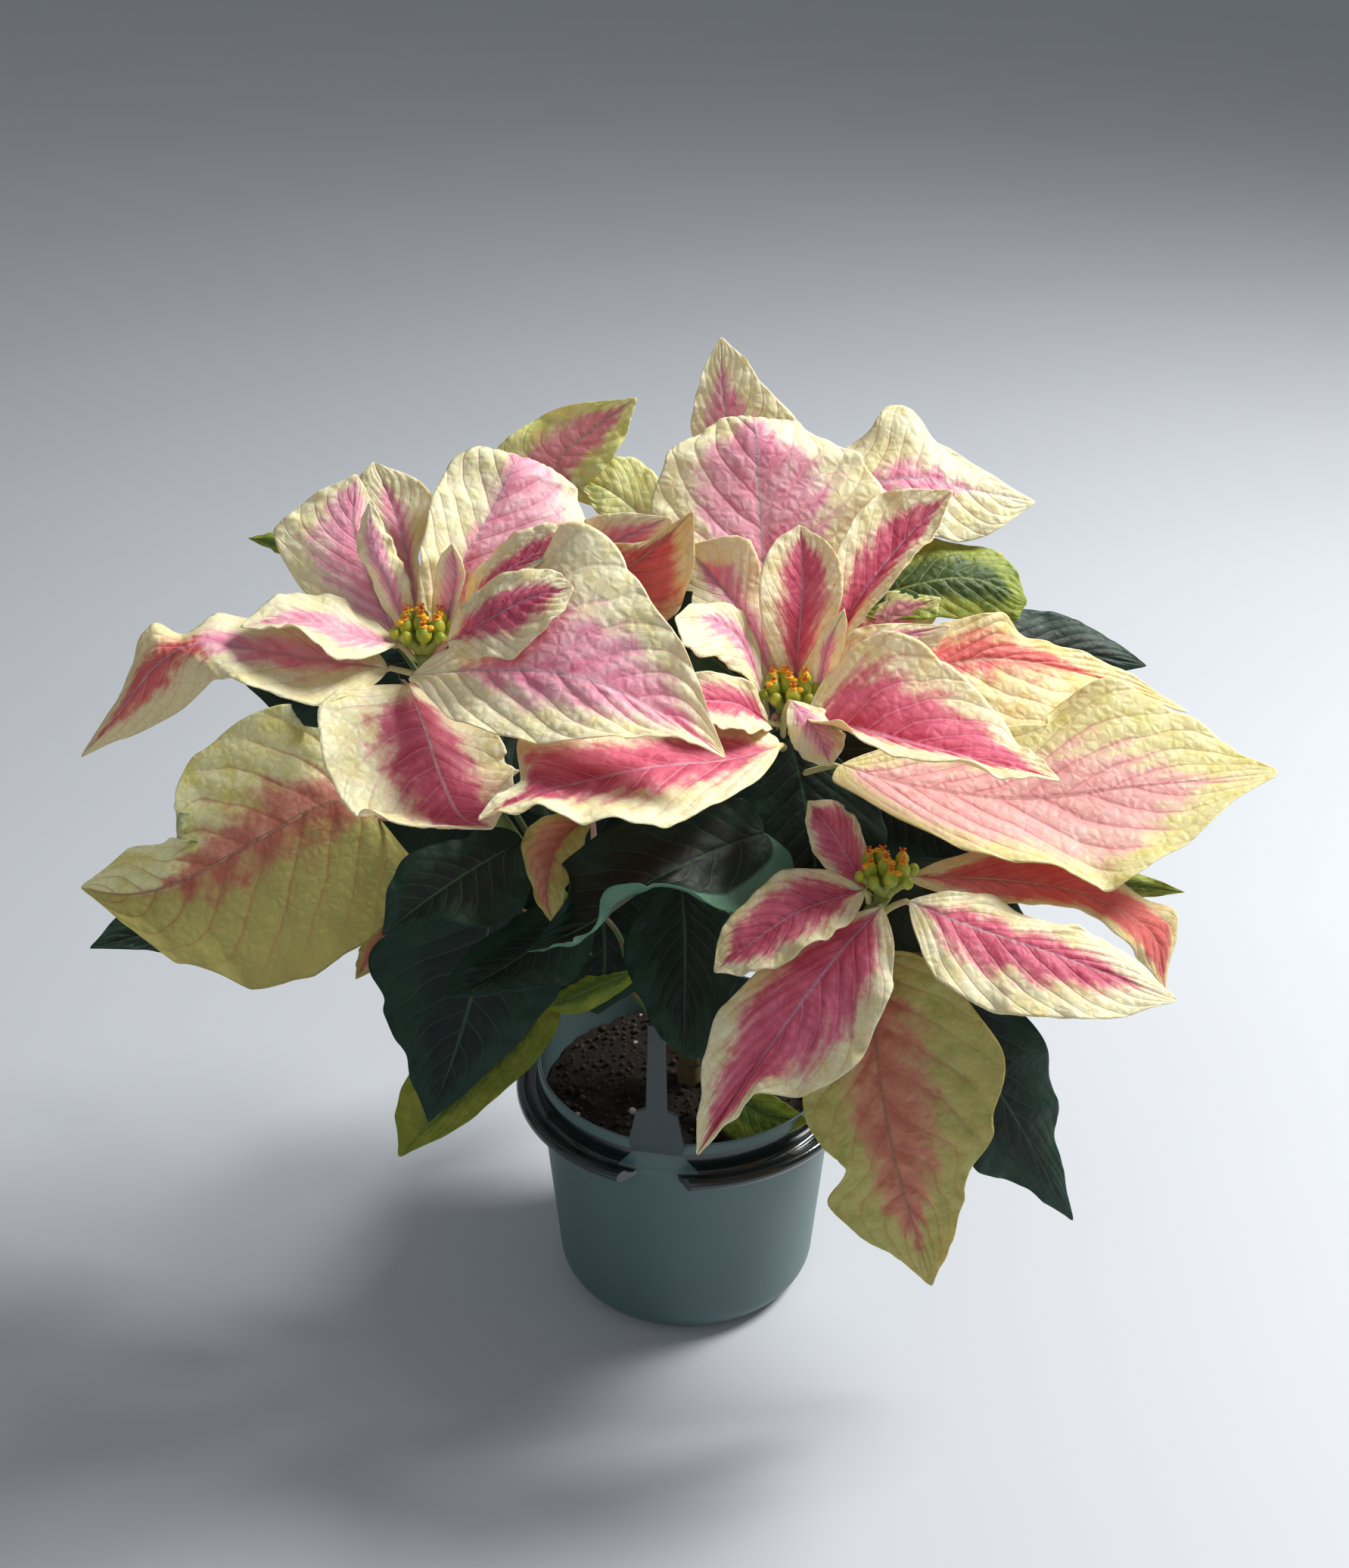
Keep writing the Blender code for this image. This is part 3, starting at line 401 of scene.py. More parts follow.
# The soil: dark peat mix with bark crumbs and a few white grains of perlite, filled to a little
# under the collar and heaped slightly round the stem.
SOIL_TOP = 0.083
SOIL_BOTTOM = 0.003
SOIL_GAP = 0.0012
SOIL_CROWN = 0.002
SOIL_CELLS = 70
SOIL_LUMPS = 0.0018
CRUMBS = 520
CRUMB_STRAY = 0.0028
PERLITE_EVERY = 70

soil_radius = POT_TOP_RADIUS - POT_WALL - SOIL_GAP
soil_foot = POT_BASE_RADIUS - POT_WALL - 0.0010


def soil_height(x, y):
    """The soil's surface: a low mound, lumpy, and a little lower where it meets the pot."""
    out = math.hypot(x, y) / soil_radius
    lumps = noise.fractal(Vector((x, y, 0.3)) * 170, 0.8, 2.1, 4)
    return SOIL_TOP + SOIL_CROWN * (1 - out) + SOIL_LUMPS * lumps - 0.0022 * out ** 6


bm = bmesh.new()
bmesh.ops.create_grid(bm, x_segments=SOIL_CELLS, y_segments=SOIL_CELLS, size=1.0)
for vert in bm.verts:
    x, y = vert.co.x, vert.co.y
    round_x = x * math.sqrt(1 - y * y / 2) * soil_radius
    round_y = y * math.sqrt(1 - x * x / 2) * soil_radius
    vert.co = Vector((round_x, round_y, soil_height(round_x, round_y)))
top = bm.faces[:]
lower = bmesh.ops.extrude_face_region(bm, geom=top)["geom"]
for vert in [part for part in lower if isinstance(part, bmesh.types.BMVert)]:
    vert.co = Vector((vert.co.x * soil_foot / soil_radius, vert.co.y * soil_foot / soil_radius,
                      SOIL_BOTTOM + POT_CORNER))
    inward = max(0.0, math.hypot(vert.co.x, vert.co.y) / soil_foot - 0.72)
    vert.co.z -= POT_CORNER * (1 - inward * inward / 0.0784)
bmesh.ops.recalc_face_normals(bm, faces=bm.faces)
for i in range(CRUMBS):
    angle = i * 2.39996
    out = soil_radius * 0.94 * math.sqrt((i + 0.5) / CRUMBS)
    stray = noise.noise_vector(Vector((i * 0.53, 2.0, 7.0))) * CRUMB_STRAY
    x, y = out * math.cos(angle) + stray.x, out * math.sin(angle) + stray.y
    size = 0.0007 + 0.0017 * abs(noise.noise(Vector((i * 0.71, 4.0, 1.0))))
    crumb = bmesh.ops.create_icosphere(bm, subdivisions=1, radius=size)["verts"]
    for vert in crumb:
        squeeze = 1 + 0.5 * noise.noise(vert.co * 900 + Vector((i, 0, 0)))
        vert.co = Vector((x, y, soil_height(x, y) + size * 0.3)) + vert.co * squeeze
    for face in {face for vert in crumb for face in vert.link_faces}:
        face.material_index = 1 if i % PERLITE_EVERY == 3 else 2
soil_material, finish, shader = new_finish("peat_mix", Roughness=0.95)
place = object_place(finish)
speckle = finish.noise(place, 420.0, 5.0, 0.7)
crumb_tone = finish.noise(place, 90.0, 3.0)
shade = speckle.step(0.35, 0.7).mix(linear(14, 10, 8), linear(42, 31, 23))
feed(shader, "Base Color", (crumb_tone * 0.5).mix(shade, linear(28, 21, 16)))
feed(shader, "Normal", finish.bump(speckle, 0.7, 0.0008))
perlite_material, finish, shader = new_finish("perlite", Roughness=0.9)
pores = finish.noise(object_place(finish), 1500.0, 3.0)
feed(shader, "Base Color", pores.mix(linear(176, 168, 152), linear(214, 208, 194)))
bark_material, finish, shader = new_finish("bark_crumb", Roughness=0.9)
flake = finish.noise(object_place(finish), 500.0, 3.0)
feed(shader, "Base Color", flake.step(0.35, 0.65).mix(linear(34, 25, 18), linear(78, 58, 40)))
make_piece("soil_mix", bm, [soil_material, perlite_material, bark_material], ["soil"])

# The stems: one main stem out of the soil and four green branches, each a round shoot that
# swells at every leaf joint, woody and brown low down and fresh green towards the flowers.
STEM_RADIUS = 0.0042
BRANCH_RADIUS = 0.0028
MAIN_STEM = ((0, 0, 72), (1, -1, 96), (1, -2, 122))
BRANCHES = {
    "left": ((-4.9, -4.1, 102), (-7.2, -5.2, 116), (-30, -10, 150), (-64, -19, 208),
                (-82, -25, 252), (-86, -26, 275)),
    "centre": ((8.3, -2, 108), (9.5, -1.5, 122), (19, 0, 166), (30, -4, 218), (34, -8, 245)),
    "right": ((2.5, -7.9, 98), (4.6, -9.8, 110), (27, -28, 138), (54, -50, 180), (64, -62, 206)),
    "back": ((1.2, 5.9, 106), (1.8, 7.5, 118), (9, 30, 160), (18, 54, 220), (20, 62, 262)),
}
STEM_AROUND = 20
STEM_STEPS = 72
JOINT_SWELL = 0.16
JOINT_LENGTH = 0.012


def smooth_curve(points, share):
    """A point at a share of a smooth curve through the given points."""
    last = len(points) - 1
    place = min(max(share, 0.0), 1.0) * last
    i = min(int(place), last - 1)
    t = place - i
    b, c = points[i], points[i + 1]
    a = points[i - 1] if i > 0 else b * 2 - c
    d = points[i + 2] if i + 2 <= last else c * 2 - b
    return 0.5 * (2 * b + (c - a) * t + (2 * a - 5 * b + 4 * c - d) * t * t
                  + (3 * b - a - 3 * c + d) * t * t * t)


def branch_points(name):
    return [Vector(point) / 1000 for point in BRANCHES[name]]


def add_tube(bm, path, radii, around, material_index=0):
    """A closed tube along a path: a grid rolled up, its seam merged and its ends drawn in."""
    path = [path[0], path[0], *path, path[-1], path[-1]]
    radii = [0.0, radii[0] * 0.7, *radii, radii[-1] * 0.7, 0.0]
    last = len(path) - 1
    grid = bmesh.ops.create_grid(bm, x_segments=around, y_segments=last, size=1.0)["verts"]
    rings = []
    across = None
    for i, centre in enumerate(path):
        run = path[min(i + 3, last - 1)] - path[max(i - 3, 1)]
        run.normalize()
        if across is None:
            across = run.orthogonal()
        across = (across - run * across.dot(run)).normalized()
        rings.append((centre, across, run.cross(across)))
    for vert in grid:
        turn = (vert.co.x + 1) * math.pi
        i = round((vert.co.y + 1) / 2 * last)
        centre, side, up = rings[i]
        vert.co = centre + (side * math.cos(turn) + up * math.sin(turn)) * radii[i]
    bmesh.ops.remove_doubles(bm, verts=grid, dist=1e-6)
    faces = list({face for vert in grid if vert.is_valid for face in vert.link_faces})
    bmesh.ops.recalc_face_normals(bm, faces=faces)
    for face in faces:
        face.material_index = material_index
    return faces


stem_material, finish, shader = new_finish("stem_bark", Roughness=0.55)
place = object_place(finish)
height = finish.node("ShaderNodeSeparateXYZ", links={0: place}, output=2)
stretch = finish.node("ShaderNodeMapping", None, {"Vector": place, "Scale": (1.0, 1.0, 0.22)})
streak = finish.noise(stretch, 700.0, 4.0, 0.6)
fresh = (height + streak * 0.03).step(0.105, 0.185)
green = streak.mix(linear(110, 128, 58), linear(146, 158, 84))
woody = streak.mix(linear(92, 80, 52), linear(128, 112, 76))
feed(shader, "Base Color", fresh.mix(woody, green))
feed(shader, "Normal", finish.bump(streak, 0.35, 0.0005))


def add_stem(name, points, radius, joints, node):
    """A stem with a swollen ring at each joint where a leaf grows or has dropped off."""
    path = []
    radii = []
    length = sum((b - a).length for a, b in zip(points, points[1:]))
    for i in range(STEM_STEPS + 1):
        share = i / STEM_STEPS
        swell = 0.0
        for joint in joints:
            gap = (share - joint) * length / JOINT_LENGTH
            swell += JOINT_SWELL * math.exp(-gap * gap * 4)
        path.append(smooth_curve(points, share))
        radii.append(radius * (0.93 + min(swell, JOINT_SWELL)) * (1 - 0.06 * share))
    bm = bmesh.new()
    add_tube(bm, path, radii, STEM_AROUND)
    make_piece(name, bm, [stem_material], [node])


main_points = [Vector(point) / 1000 for point in MAIN_STEM]
add_stem("main_shoot", main_points, STEM_RADIUS, (0.35, 0.6, 0.85), "main_stem")

# Leaves and bracts: thin blades on round stalks, each grown from its own joint. The coloured
# bracts are cream with a feathered pink heart, the leaves between are yellow-green, and the
# lower leaves are nearly black green. Side veins run out from the midrib and the blade puffs up
# between them; its edge is wavy and ends in a narrow drip tip.
BLADE_THICK = 0.00045
BLADE_CELL = 0.00115
PUFF_CELL = 0.0040
GRAIN_SCALE = 110.0
STALK_THICK = 0.0020
STALK_STEPS = 14
RIDGE_STEPS = 30
RIDGE_SINK = 0.97
STALK_BOW = 0.3
SEAT = 0.0003
WIDEST_POWER = 0.75
TIP_POWER = 0.90
VEINS = 10.0
VEIN_LEAN = 2.3
VEIN_CURL = 0.9
OTHER_SIDE = 0.45
# Each leaf: its branch, how far along it the stalk leaves, its palette, and then its midrib, its
# left and its right edge, each point as across and down in the front view and depth in mm. An
# edge point starts with its share of the blade's length.
LEAVES = {
    "bract_left_1": ("left", 0.93, "cream",
        [(512, 882, -31), (430, 872, -36), (345, 858, -42), (262, 848, -47), (205, 880, -50),
         (150, 950, -54), (107, 1000, -56)],
        [(0.20, 430, 926, -54), (0.38, 340, 906, -60), (0.52, 290, 893, -58),
         (0.72, 235, 945, -50), (0.88, 150, 984, -54)],
        [(0.20, 420, 805, -20), (0.42, 300, 808, -24), (0.55, 245, 832, -34),
         (0.66, 197, 826, -40), (0.85, 150, 925, -50)]),
    "bract_left_2": ("left", 0.99, "cream",
        [(525, 850, -29), (470, 838, -35), (400, 818, -38), (318, 828, -44)],
        [(0.35, 447, 870, -50), (0.65, 385, 835, -50)],
        [(0.35, 450, 798, -21), (0.60, 390, 787, -25)]),
    "bract_left_3": ("left", 0.96, "cream",
        [(526, 846, -14), (490, 770, -10), (468, 700, -1), (471, 627, 9)],
        [(0.22, 425, 800, -12), (0.36, 388, 765, -11), (0.52, 363, 704, -7), (0.75, 405, 662, 1)],
        [(0.50, 510, 705, 3)]),
    "bract_left_4": ("left", 0.92, "cream",
        [(555, 846, -7), (540, 740, 5), (520, 670, 18), (494, 611, 28)],
        [(0.25, 500, 775, 3), (0.60, 470, 660, 17)],
        [(0.30, 558, 755, 7), (0.65, 568, 650, 20)]),
    "bract_left_5": ("left", 0.98, "cream",
        [(543, 846, -20), (512, 770, -21), (492, 715, -16), (488, 663, -9)],
        [(0.50, 478, 735, -16)],
        [(0.50, 530, 745, -16)]),
    "bract_left_6": ("left", 0.94, "cream",
        [(570, 850, -15), (612, 745, -8), (650, 675, 3), (686, 606, 16), (706, 620, 46)],
        [(0.25, 562, 745, -20), (0.48, 578, 650, -2), (0.66, 598, 600, 16)],
        [(0.25, 690, 770, -8), (0.48, 775, 695, 6), (0.66, 768, 645, 20), (0.80, 728, 612, 36)]),
    "bract_left_7": ("left", 0.97, "cream",
        [(583, 848, -18), (602, 770, -20), (597, 718, -17)],
        [(0.50, 575, 765, -19)],
        [(0.50, 614, 765, -21)]),
    "bract_left_8": ("left", 0.95, "cream",
        [(603, 850, -20), (652, 768, -23), (715, 727, -20), (777, 696, -16)],
        [(0.40, 645, 742, -14), (0.65, 700, 700, -13)],
        [(0.50, 700, 755, -25)]),
    "bract_left_9": ("left", 0.98, "cream",
        [(592, 848, -36), (650, 815, -44), (700, 790, -43), (758, 776, -42)],
        [(0.35, 632, 775, -34), (0.65, 715, 747, -35)],
        [(0.30, 630, 866, -51), (0.50, 680, 866, -55), (0.75, 735, 812, -50)]),
    "bract_left_10": ("left", 0.95, "cream",
        [(545, 892, -36), (640, 885, -48), (760, 893, -60), (860, 933, -68), (958, 1000, -80)],
        [(0.08, 580, 868, -35), (0.20, 672, 826, -31), (0.38, 765, 706, -18),
         (0.52, 829, 765, -28), (0.70, 885, 835, -46), (0.88, 932, 930, -66)],
        [(0.10, 548, 905, -44), (0.24, 600, 955, -60), (0.45, 715, 988, -76),
         (0.65, 820, 988, -84), (0.85, 905, 983, -84)]),
    "bract_left_11": ("left", 0.86, "magenta",
        [(540, 905, -36), (562, 960, -50), (583, 1025, -60), (610, 1078, -74), (650, 1094, -84)],
        [(0.25, 610, 965, -34), (0.45, 652, 1010, -44), (0.65, 681, 1044, -56), (0.85, 680, 1062, -70)],
        [(0.12, 470, 918, -44), (0.28, 424, 935, -52), (0.46, 430, 1020, -66),
         (0.64, 475, 1098, -82), (0.84, 560, 1106, -92)]),
    "bract_left_12": ("left", 0.87, "cream",
        [(618, 886, -10), (690, 830, -15), (780, 775, -14), (850, 735, -12), (915, 676, -14)],
        [(0.55, 787, 722, -8), (0.80, 862, 712, -9)],
        [(0.60, 890, 812, -15), (0.82, 917, 745, -14)]),
    "leaf_left_1": ("left", 0.60, "yellow_green",
        [(500, 1080, 12), (440, 1060, 2), (350, 1105, -10), (250, 1160, -20), (170, 1182, -24),
         (107, 1173, -26)],
        [(0.12, 549, 1150, 10), (0.28, 500, 1215, 2), (0.45, 414, 1275, -12),
         (0.60, 330, 1297, -24), (0.75, 240, 1270, -30), (0.88, 165, 1222, -29)],
        [(0.10, 480, 965, 26), (0.22, 420, 938, 22), (0.36, 342, 945, 16), (0.50, 270, 995, 6),
         (0.62, 238, 1070, -5), (0.70, 232, 1108, -12), (0.85, 165, 1125, -18)]),
    "leaf_left_2": ("left", 0.42, "dark_green",
        [(420, 1160, 38), (300, 1190, 26), (200, 1232, 10), (119, 1253, -3)],
        [(0.40, 300, 1262, 24), (0.80, 190, 1254, 5)],
        [(0.40, 300, 1130, 36), (0.80, 160, 1210, 8)]),
    "leaf_left_3": ("left", 0.52, "dark_green",
        [(690, 1110, -36), (620, 1150, -45), (560, 1192, -53), (506, 1235, -59)],
        [(0.35, 680, 1210, -58), (0.70, 585, 1218, -63)],
        [(0.35, 620, 1100, -33), (0.70, 522, 1148, -46)]),
    "leaf_left_4": ("left", 0.22, "dark_green",
        [(655, 1190, -30), (628, 1300, -34), (600, 1395, -42), (567, 1482, -48)],
        [(0.30, 740, 1290, -30), (0.55, 695, 1365, -40), (0.80, 620, 1440, -46)],
        [(0.25, 497, 1245, -24), (0.50, 508, 1330, -34), (0.75, 540, 1412, -42)]),
    "leaf_left_5": ("left", 0.30, "yellow_green",
        [(690, 1260, 2), (690, 1350, -6), (620, 1430, -14), (528, 1528, -24)],
        [(0.30, 738, 1345, -10), (0.50, 700, 1410, -16), (0.75, 610, 1485, -24)],
        [(0.30, 620, 1320, 4), (0.70, 535, 1430, -12)]),
    "bract_centre_1": ("centre", 0.86, "coral",
        [(1030, 985, -34), (960, 1003, -52), (860, 1012, -70), (770, 1032, -84), (700, 1050, -93),
         (632, 1082, -100)],
        [(0.12, 1005, 1028, -56), (0.25, 955, 1064, -76), (0.45, 870, 1100, -97),
         (0.62, 775, 1092, -104), (0.75, 712, 1072, -104), (0.90, 655, 1080, -103)],
        [(0.15, 1000, 966, -27), (0.40, 870, 975, -46), (0.60, 760, 978, -56),
         (0.72, 688, 990, -64), (0.80, 690, 1040, -86), (0.90, 650, 1055, -94)]),
    "bract_centre_2": ("centre", 0.97, "magenta",
        [(1016, 955, -18), (975, 930, -26), (925, 925, -36), (880, 922, -46)],
        [(0.25, 1010, 966, -37), (0.60, 950, 965, -51)],
        [(0.30, 985, 900, -19), (0.60, 915, 890, -31)]),
    "bract_centre_3": ("centre", 0.99, "cream",
        [(1018, 950, -8), (985, 855, -5), (945, 820, -14), (893, 815, -25)],
        [(0.15, 1005, 925, -10), (0.50, 955, 866, -27), (0.78, 905, 850, -34)],
        [(0.50, 972, 800, -2), (0.80, 915, 797, -14)]),
    "bract_centre_4": ("centre", 0.93, "cream",
        [(1026, 908, 0), (985, 820, 7), (945, 765, 12), (905, 722, 15)],
        [(0.40, 935, 830, -1), (0.70, 905, 780, 7)],
        [(0.40, 1012, 780, 16), (0.70, 985, 712, 12)]),
    "bract_centre_5": ("centre", 0.985, "cream",
        [(1050, 912, 1), (1058, 820, 4), (1062, 755, 11), (1058, 694, 18)],
        [(0.30, 1006, 815, 0), (0.62, 1010, 740, 9)],
        [(0.30, 1106, 815, 2), (0.62, 1110, 745, 11)]),
    "bract_centre_6": ("centre", 0.95, "cream",
        [(1080, 928, -6), (1094, 856, -8), (1116, 805, -6)],
        [(0.50, 1080, 848, -8)],
        [(0.50, 1114, 855, -9)]),
    "bract_centre_7": ("centre", 0.96, "cream",
        [(1074, 912, 4), (1130, 800, 14), (1190, 720, 26), (1259, 648, 36)],
        [(0.25, 1088, 790, 8), (0.45, 1112, 715, 20), (0.72, 1165, 655, 33)],
        [(0.28, 1120, 850, 2), (0.55, 1195, 755, 12), (0.80, 1238, 705, 24)]),
    "bract_centre_8": ("centre", 0.88, "cream",
        [(1041, 905, 11), (1012, 770, 28), (1004, 660, 44), (998, 560, 58), (994, 552, 74)],
        [(0.25, 930, 770, 24), (0.42, 862, 680, 38), (0.58, 880, 605, 50), (0.75, 935, 560, 62)],
        [(0.25, 1115, 755, 30), (0.42, 1168, 660, 42), (0.58, 1140, 605, 54), (0.75, 1070, 570, 66)]),
    "bract_centre_9": ("centre", 0.94, "magenta",
        [(1066, 948, -20), (1130, 962, -31), (1210, 982, -43), (1310, 1006, -55), (1400, 1030, -66)],
        [(0.12, 1100, 890, -10), (0.28, 1171, 838, -8), (0.43, 1245, 880, -16),
         (0.60, 1308, 940, -30), (0.80, 1362, 1002, -50)],
        [(0.15, 1090, 958, -42), (0.35, 1180, 1003, -62), (0.60, 1290, 1025, -74),
         (0.80, 1350, 1032, -74)]),
    "bract_centre_10": ("centre", 0.88, "coral",
        [(1110, 905, 6), (1220, 885, 16), (1320, 870, 26), (1440, 893, 34), (1570, 940, 38)],
        [(0.22, 1200, 835, 30), (0.42, 1320, 808, 36), (0.55, 1365, 840, 38), (0.75, 1460, 872, 42)],
        [(0.25, 1250, 960, -2), (0.42, 1350, 985, 0), (0.55, 1408, 955, 8), (0.72, 1470, 912, 26)]),
    "leaf_centre_1": ("centre", 0.74, "yellow_green",
        [(1112, 1010, -24), (1200, 1035, -26), (1347, 1054, -28), (1500, 1038, -24), (1689, 1020, -18)],
        [(0.20, 1230, 985, -8), (0.40, 1380, 975, 0), (0.56, 1465, 911, 12), (0.72, 1554, 950, 5),
         (0.88, 1640, 1002, -8)],
        [(0.06, 1100, 1030, -32), (0.22, 1243, 1120, -52), (0.42, 1378, 1162, -64),
         (0.60, 1476, 1180, -64), (0.74, 1555, 1130, -50), (0.88, 1632, 1065, -32)]),
    "leaf_centre_2": ("centre", 0.50, "dark_green",
        [(1010, 1100, -40), (930, 1130, -58), (850, 1170, -74), (780, 1220, -86), (699, 1256, -96)],
        [(0.14, 1043, 1150, -44), (0.28, 985, 1208, -64), (0.45, 860, 1195, -84),
         (0.60, 812, 1215, -92), (0.78, 760, 1262, -98)],
        [(0.20, 960, 1060, -38), (0.45, 850, 1090, -50), (0.68, 745, 1150, -70),
         (0.85, 735, 1208, -86)]),
    "leaf_left_7": ("left", 0.47, "yellow_green",
        [(780, 1075, -42), (735, 1120, -54), (722, 1180, -64), (733, 1225, -70)],
        [(0.45, 770, 1120, -56), (0.70, 745, 1175, -66)],
        [(0.45, 690, 1110, -52), (0.70, 702, 1175, -62)]),
    "leaf_left_6": ("left", 0.36, "dark_green",
        [(780, 1200, -42), (720, 1240, -52), (660, 1282, -62), (589, 1317, -70)],
        [(0.35, 760, 1292, -60), (0.70, 670, 1306, -69)],
        [(0.35, 700, 1200, -40), (0.70, 612, 1262, -58)]),
    "leaf_centre_3": ("centre", 0.30, "dark_green",
        [(900, 1160, -26), (905, 1230, -40), (905, 1310, -56), (903, 1396, -68)],
        [(0.30, 985, 1240, -42), (0.62, 960, 1330, -57), (0.80, 928, 1398, -67)],
        [(0.30, 826, 1240, -38), (0.62, 848, 1325, -56), (0.80, 870, 1365, -64)]),
    "bract_right_1": ("right", 0.96, "magenta",
        [(1140, 1176, -66), (1060, 1202, -77), (1000, 1240, -83), (944, 1284, -87)],
        [(0.40, 1085, 1238, -93), (0.70, 1000, 1282, -96)],
        [(0.35, 1040, 1148, -64), (0.68, 960, 1215, -76)]),
    "bract_right_2": ("right", 0.94, "magenta",
        [(1146, 1178, -56), (1105, 1106, -49), (1068, 1058, -43)],
        [(0.50, 1078, 1125, -53)],
        [(0.50, 1128, 1075, -40)]),
    "bract_right_3": ("right", 0.95, "magenta",
        [(1165, 1198, -72), (1100, 1270, -87), (1020, 1380, -100), (922, 1525, -106)],
        [(0.22, 1178, 1290, -96), (0.42, 1140, 1395, -108), (0.58, 1065, 1448, -110),
         (0.74, 985, 1450, -109)],
        [(0.24, 1040, 1245, -80), (0.46, 960, 1325, -92), (0.62, 928, 1400, -99),
         (0.78, 925, 1460, -104)]),
    "bract_right_4": ("right", 0.92, "magenta",
        [(1202, 1190, -73), (1280, 1222, -78), (1400, 1262, -86), (1554, 1321, -92)],
        [(0.25, 1300, 1180, -66), (0.45, 1380, 1215, -73), (0.68, 1465, 1240, -78)],
        [(0.25, 1240, 1285, -94), (0.45, 1320, 1335, -102), (0.68, 1420, 1342, -104)]),
    "bract_right_5": ("right", 0.90, "coral",
        [(1205, 1158, -56), (1320, 1162, -52), (1430, 1180, -50), (1520, 1230, -50), (1540, 1306, -53)],
        [(0.35, 1380, 1115, -36), (0.65, 1500, 1175, -38), (0.82, 1556, 1222, -42)],
        [(0.30, 1290, 1190, -56), (0.60, 1430, 1205, -58), (0.82, 1505, 1258, -60)]),
    "leaf_right_1": ("right", 0.82, "yellow_green",
        [(1160, 1262, -74), (1158, 1380, -86), (1180, 1520, -93), (1205, 1610, -92), (1231, 1699, -86)],
        [(0.20, 1250, 1290, -78), (0.38, 1322, 1390, -84), (0.55, 1308, 1480, -88),
         (0.68, 1272, 1570, -90), (0.84, 1250, 1645, -88)],
        [(0.25, 1075, 1400, -88), (0.42, 1062, 1465, -92), (0.60, 1118, 1530, -92),
         (0.72, 1100, 1588, -90), (0.86, 1175, 1650, -88)]),
    "leaf_right_2": ("right", 0.66, "dark_green",
        [(1235, 1265, -58), (1290, 1390, -68), (1350, 1490, -71), (1418, 1612, -68)],
        [(0.35, 1370, 1360, -60), (0.58, 1400, 1450, -63), (0.80, 1402, 1530, -66)],
        [(0.35, 1215, 1430, -76), (0.55, 1290, 1545, -76), (0.80, 1370, 1580, -72)]),
    "bract_back_1": ("back", 0.97, "cream",
        [(975, 660, 84), (966, 590, 85), (956, 515, 86), (953, 445, 88)],
        [(0.40, 915, 575, 84), (0.70, 924, 505, 85)],
        [(0.40, 1052, 565, 92), (0.70, 998, 495, 90)]),
    "bract_back_2": ("back", 0.94, "cream",
        [(1060, 670, 66), (1190, 632, 72), (1280, 645, 76), (1368, 663, 78)],
        [(0.30, 1135, 580, 84), (0.55, 1195, 534, 92), (0.80, 1275, 602, 86)],
        [(0.40, 1190, 700, 58), (0.72, 1295, 708, 64)]),
    "bract_back_3": ("back", 0.94, "pale_green",
        [(860, 690, 60), (740, 620, 64), (780, 570, 68), (841, 526, 70)],
        [(0.45, 655, 597, 66), (0.68, 725, 544, 72)],
        [(0.45, 775, 640, 60), (0.75, 818, 590, 64)]),
    "bract_back_4": ("back", 0.70, "pale_green",
        [(935, 750, 48), (860, 690, 55), (810, 650, 60), (765, 630, 64)],
        [(0.50, 815, 705, 50)],
        [(0.50, 850, 612, 66)]),
    "leaf_back_1": ("back", 0.62, "green",
        [(1120, 800, 46), (1220, 770, 50), (1290, 765, 54), (1357, 795, 56)],
        [(0.40, 1225, 712, 64), (0.72, 1330, 735, 66)],
        [(0.45, 1240, 815, 42), (0.78, 1340, 822, 50)]),
    "leaf_back_2": ("back", 0.48, "dark_green",
        [(1200, 850, 62), (1330, 850, 74), (1420, 862, 80), (1515, 880, 84)],
        [(0.50, 1390, 808, 88)],
        [(0.50, 1360, 895, 70)]),
    "leaf_back_3": ("back", 0.36, "dark_green",
        [(760, 860, 70), (660, 860, 88), (560, 870, 104), (470, 890, 116)],
        [(0.45, 600, 930, 84)],
        [(0.45, 640, 800, 106)]),
    "leaf_back_4": ("back", 0.24, "dark_green",
        [(930, 1040, 62), (930, 1040, 84), (930, 1070, 104), (930, 1110, 118)],
        [(0.45, 850, 1070, 88)],
        [(0.45, 1010, 1070, 86)]),
    "bract_back_5": ("back", 0.92, "cream",
        [(965, 770, 78), (925, 740, 98), (895, 740, 118), (880, 765, 134)],
        [(0.42, 845, 765, 98)],
        [(0.42, 985, 735, 116)]),
}
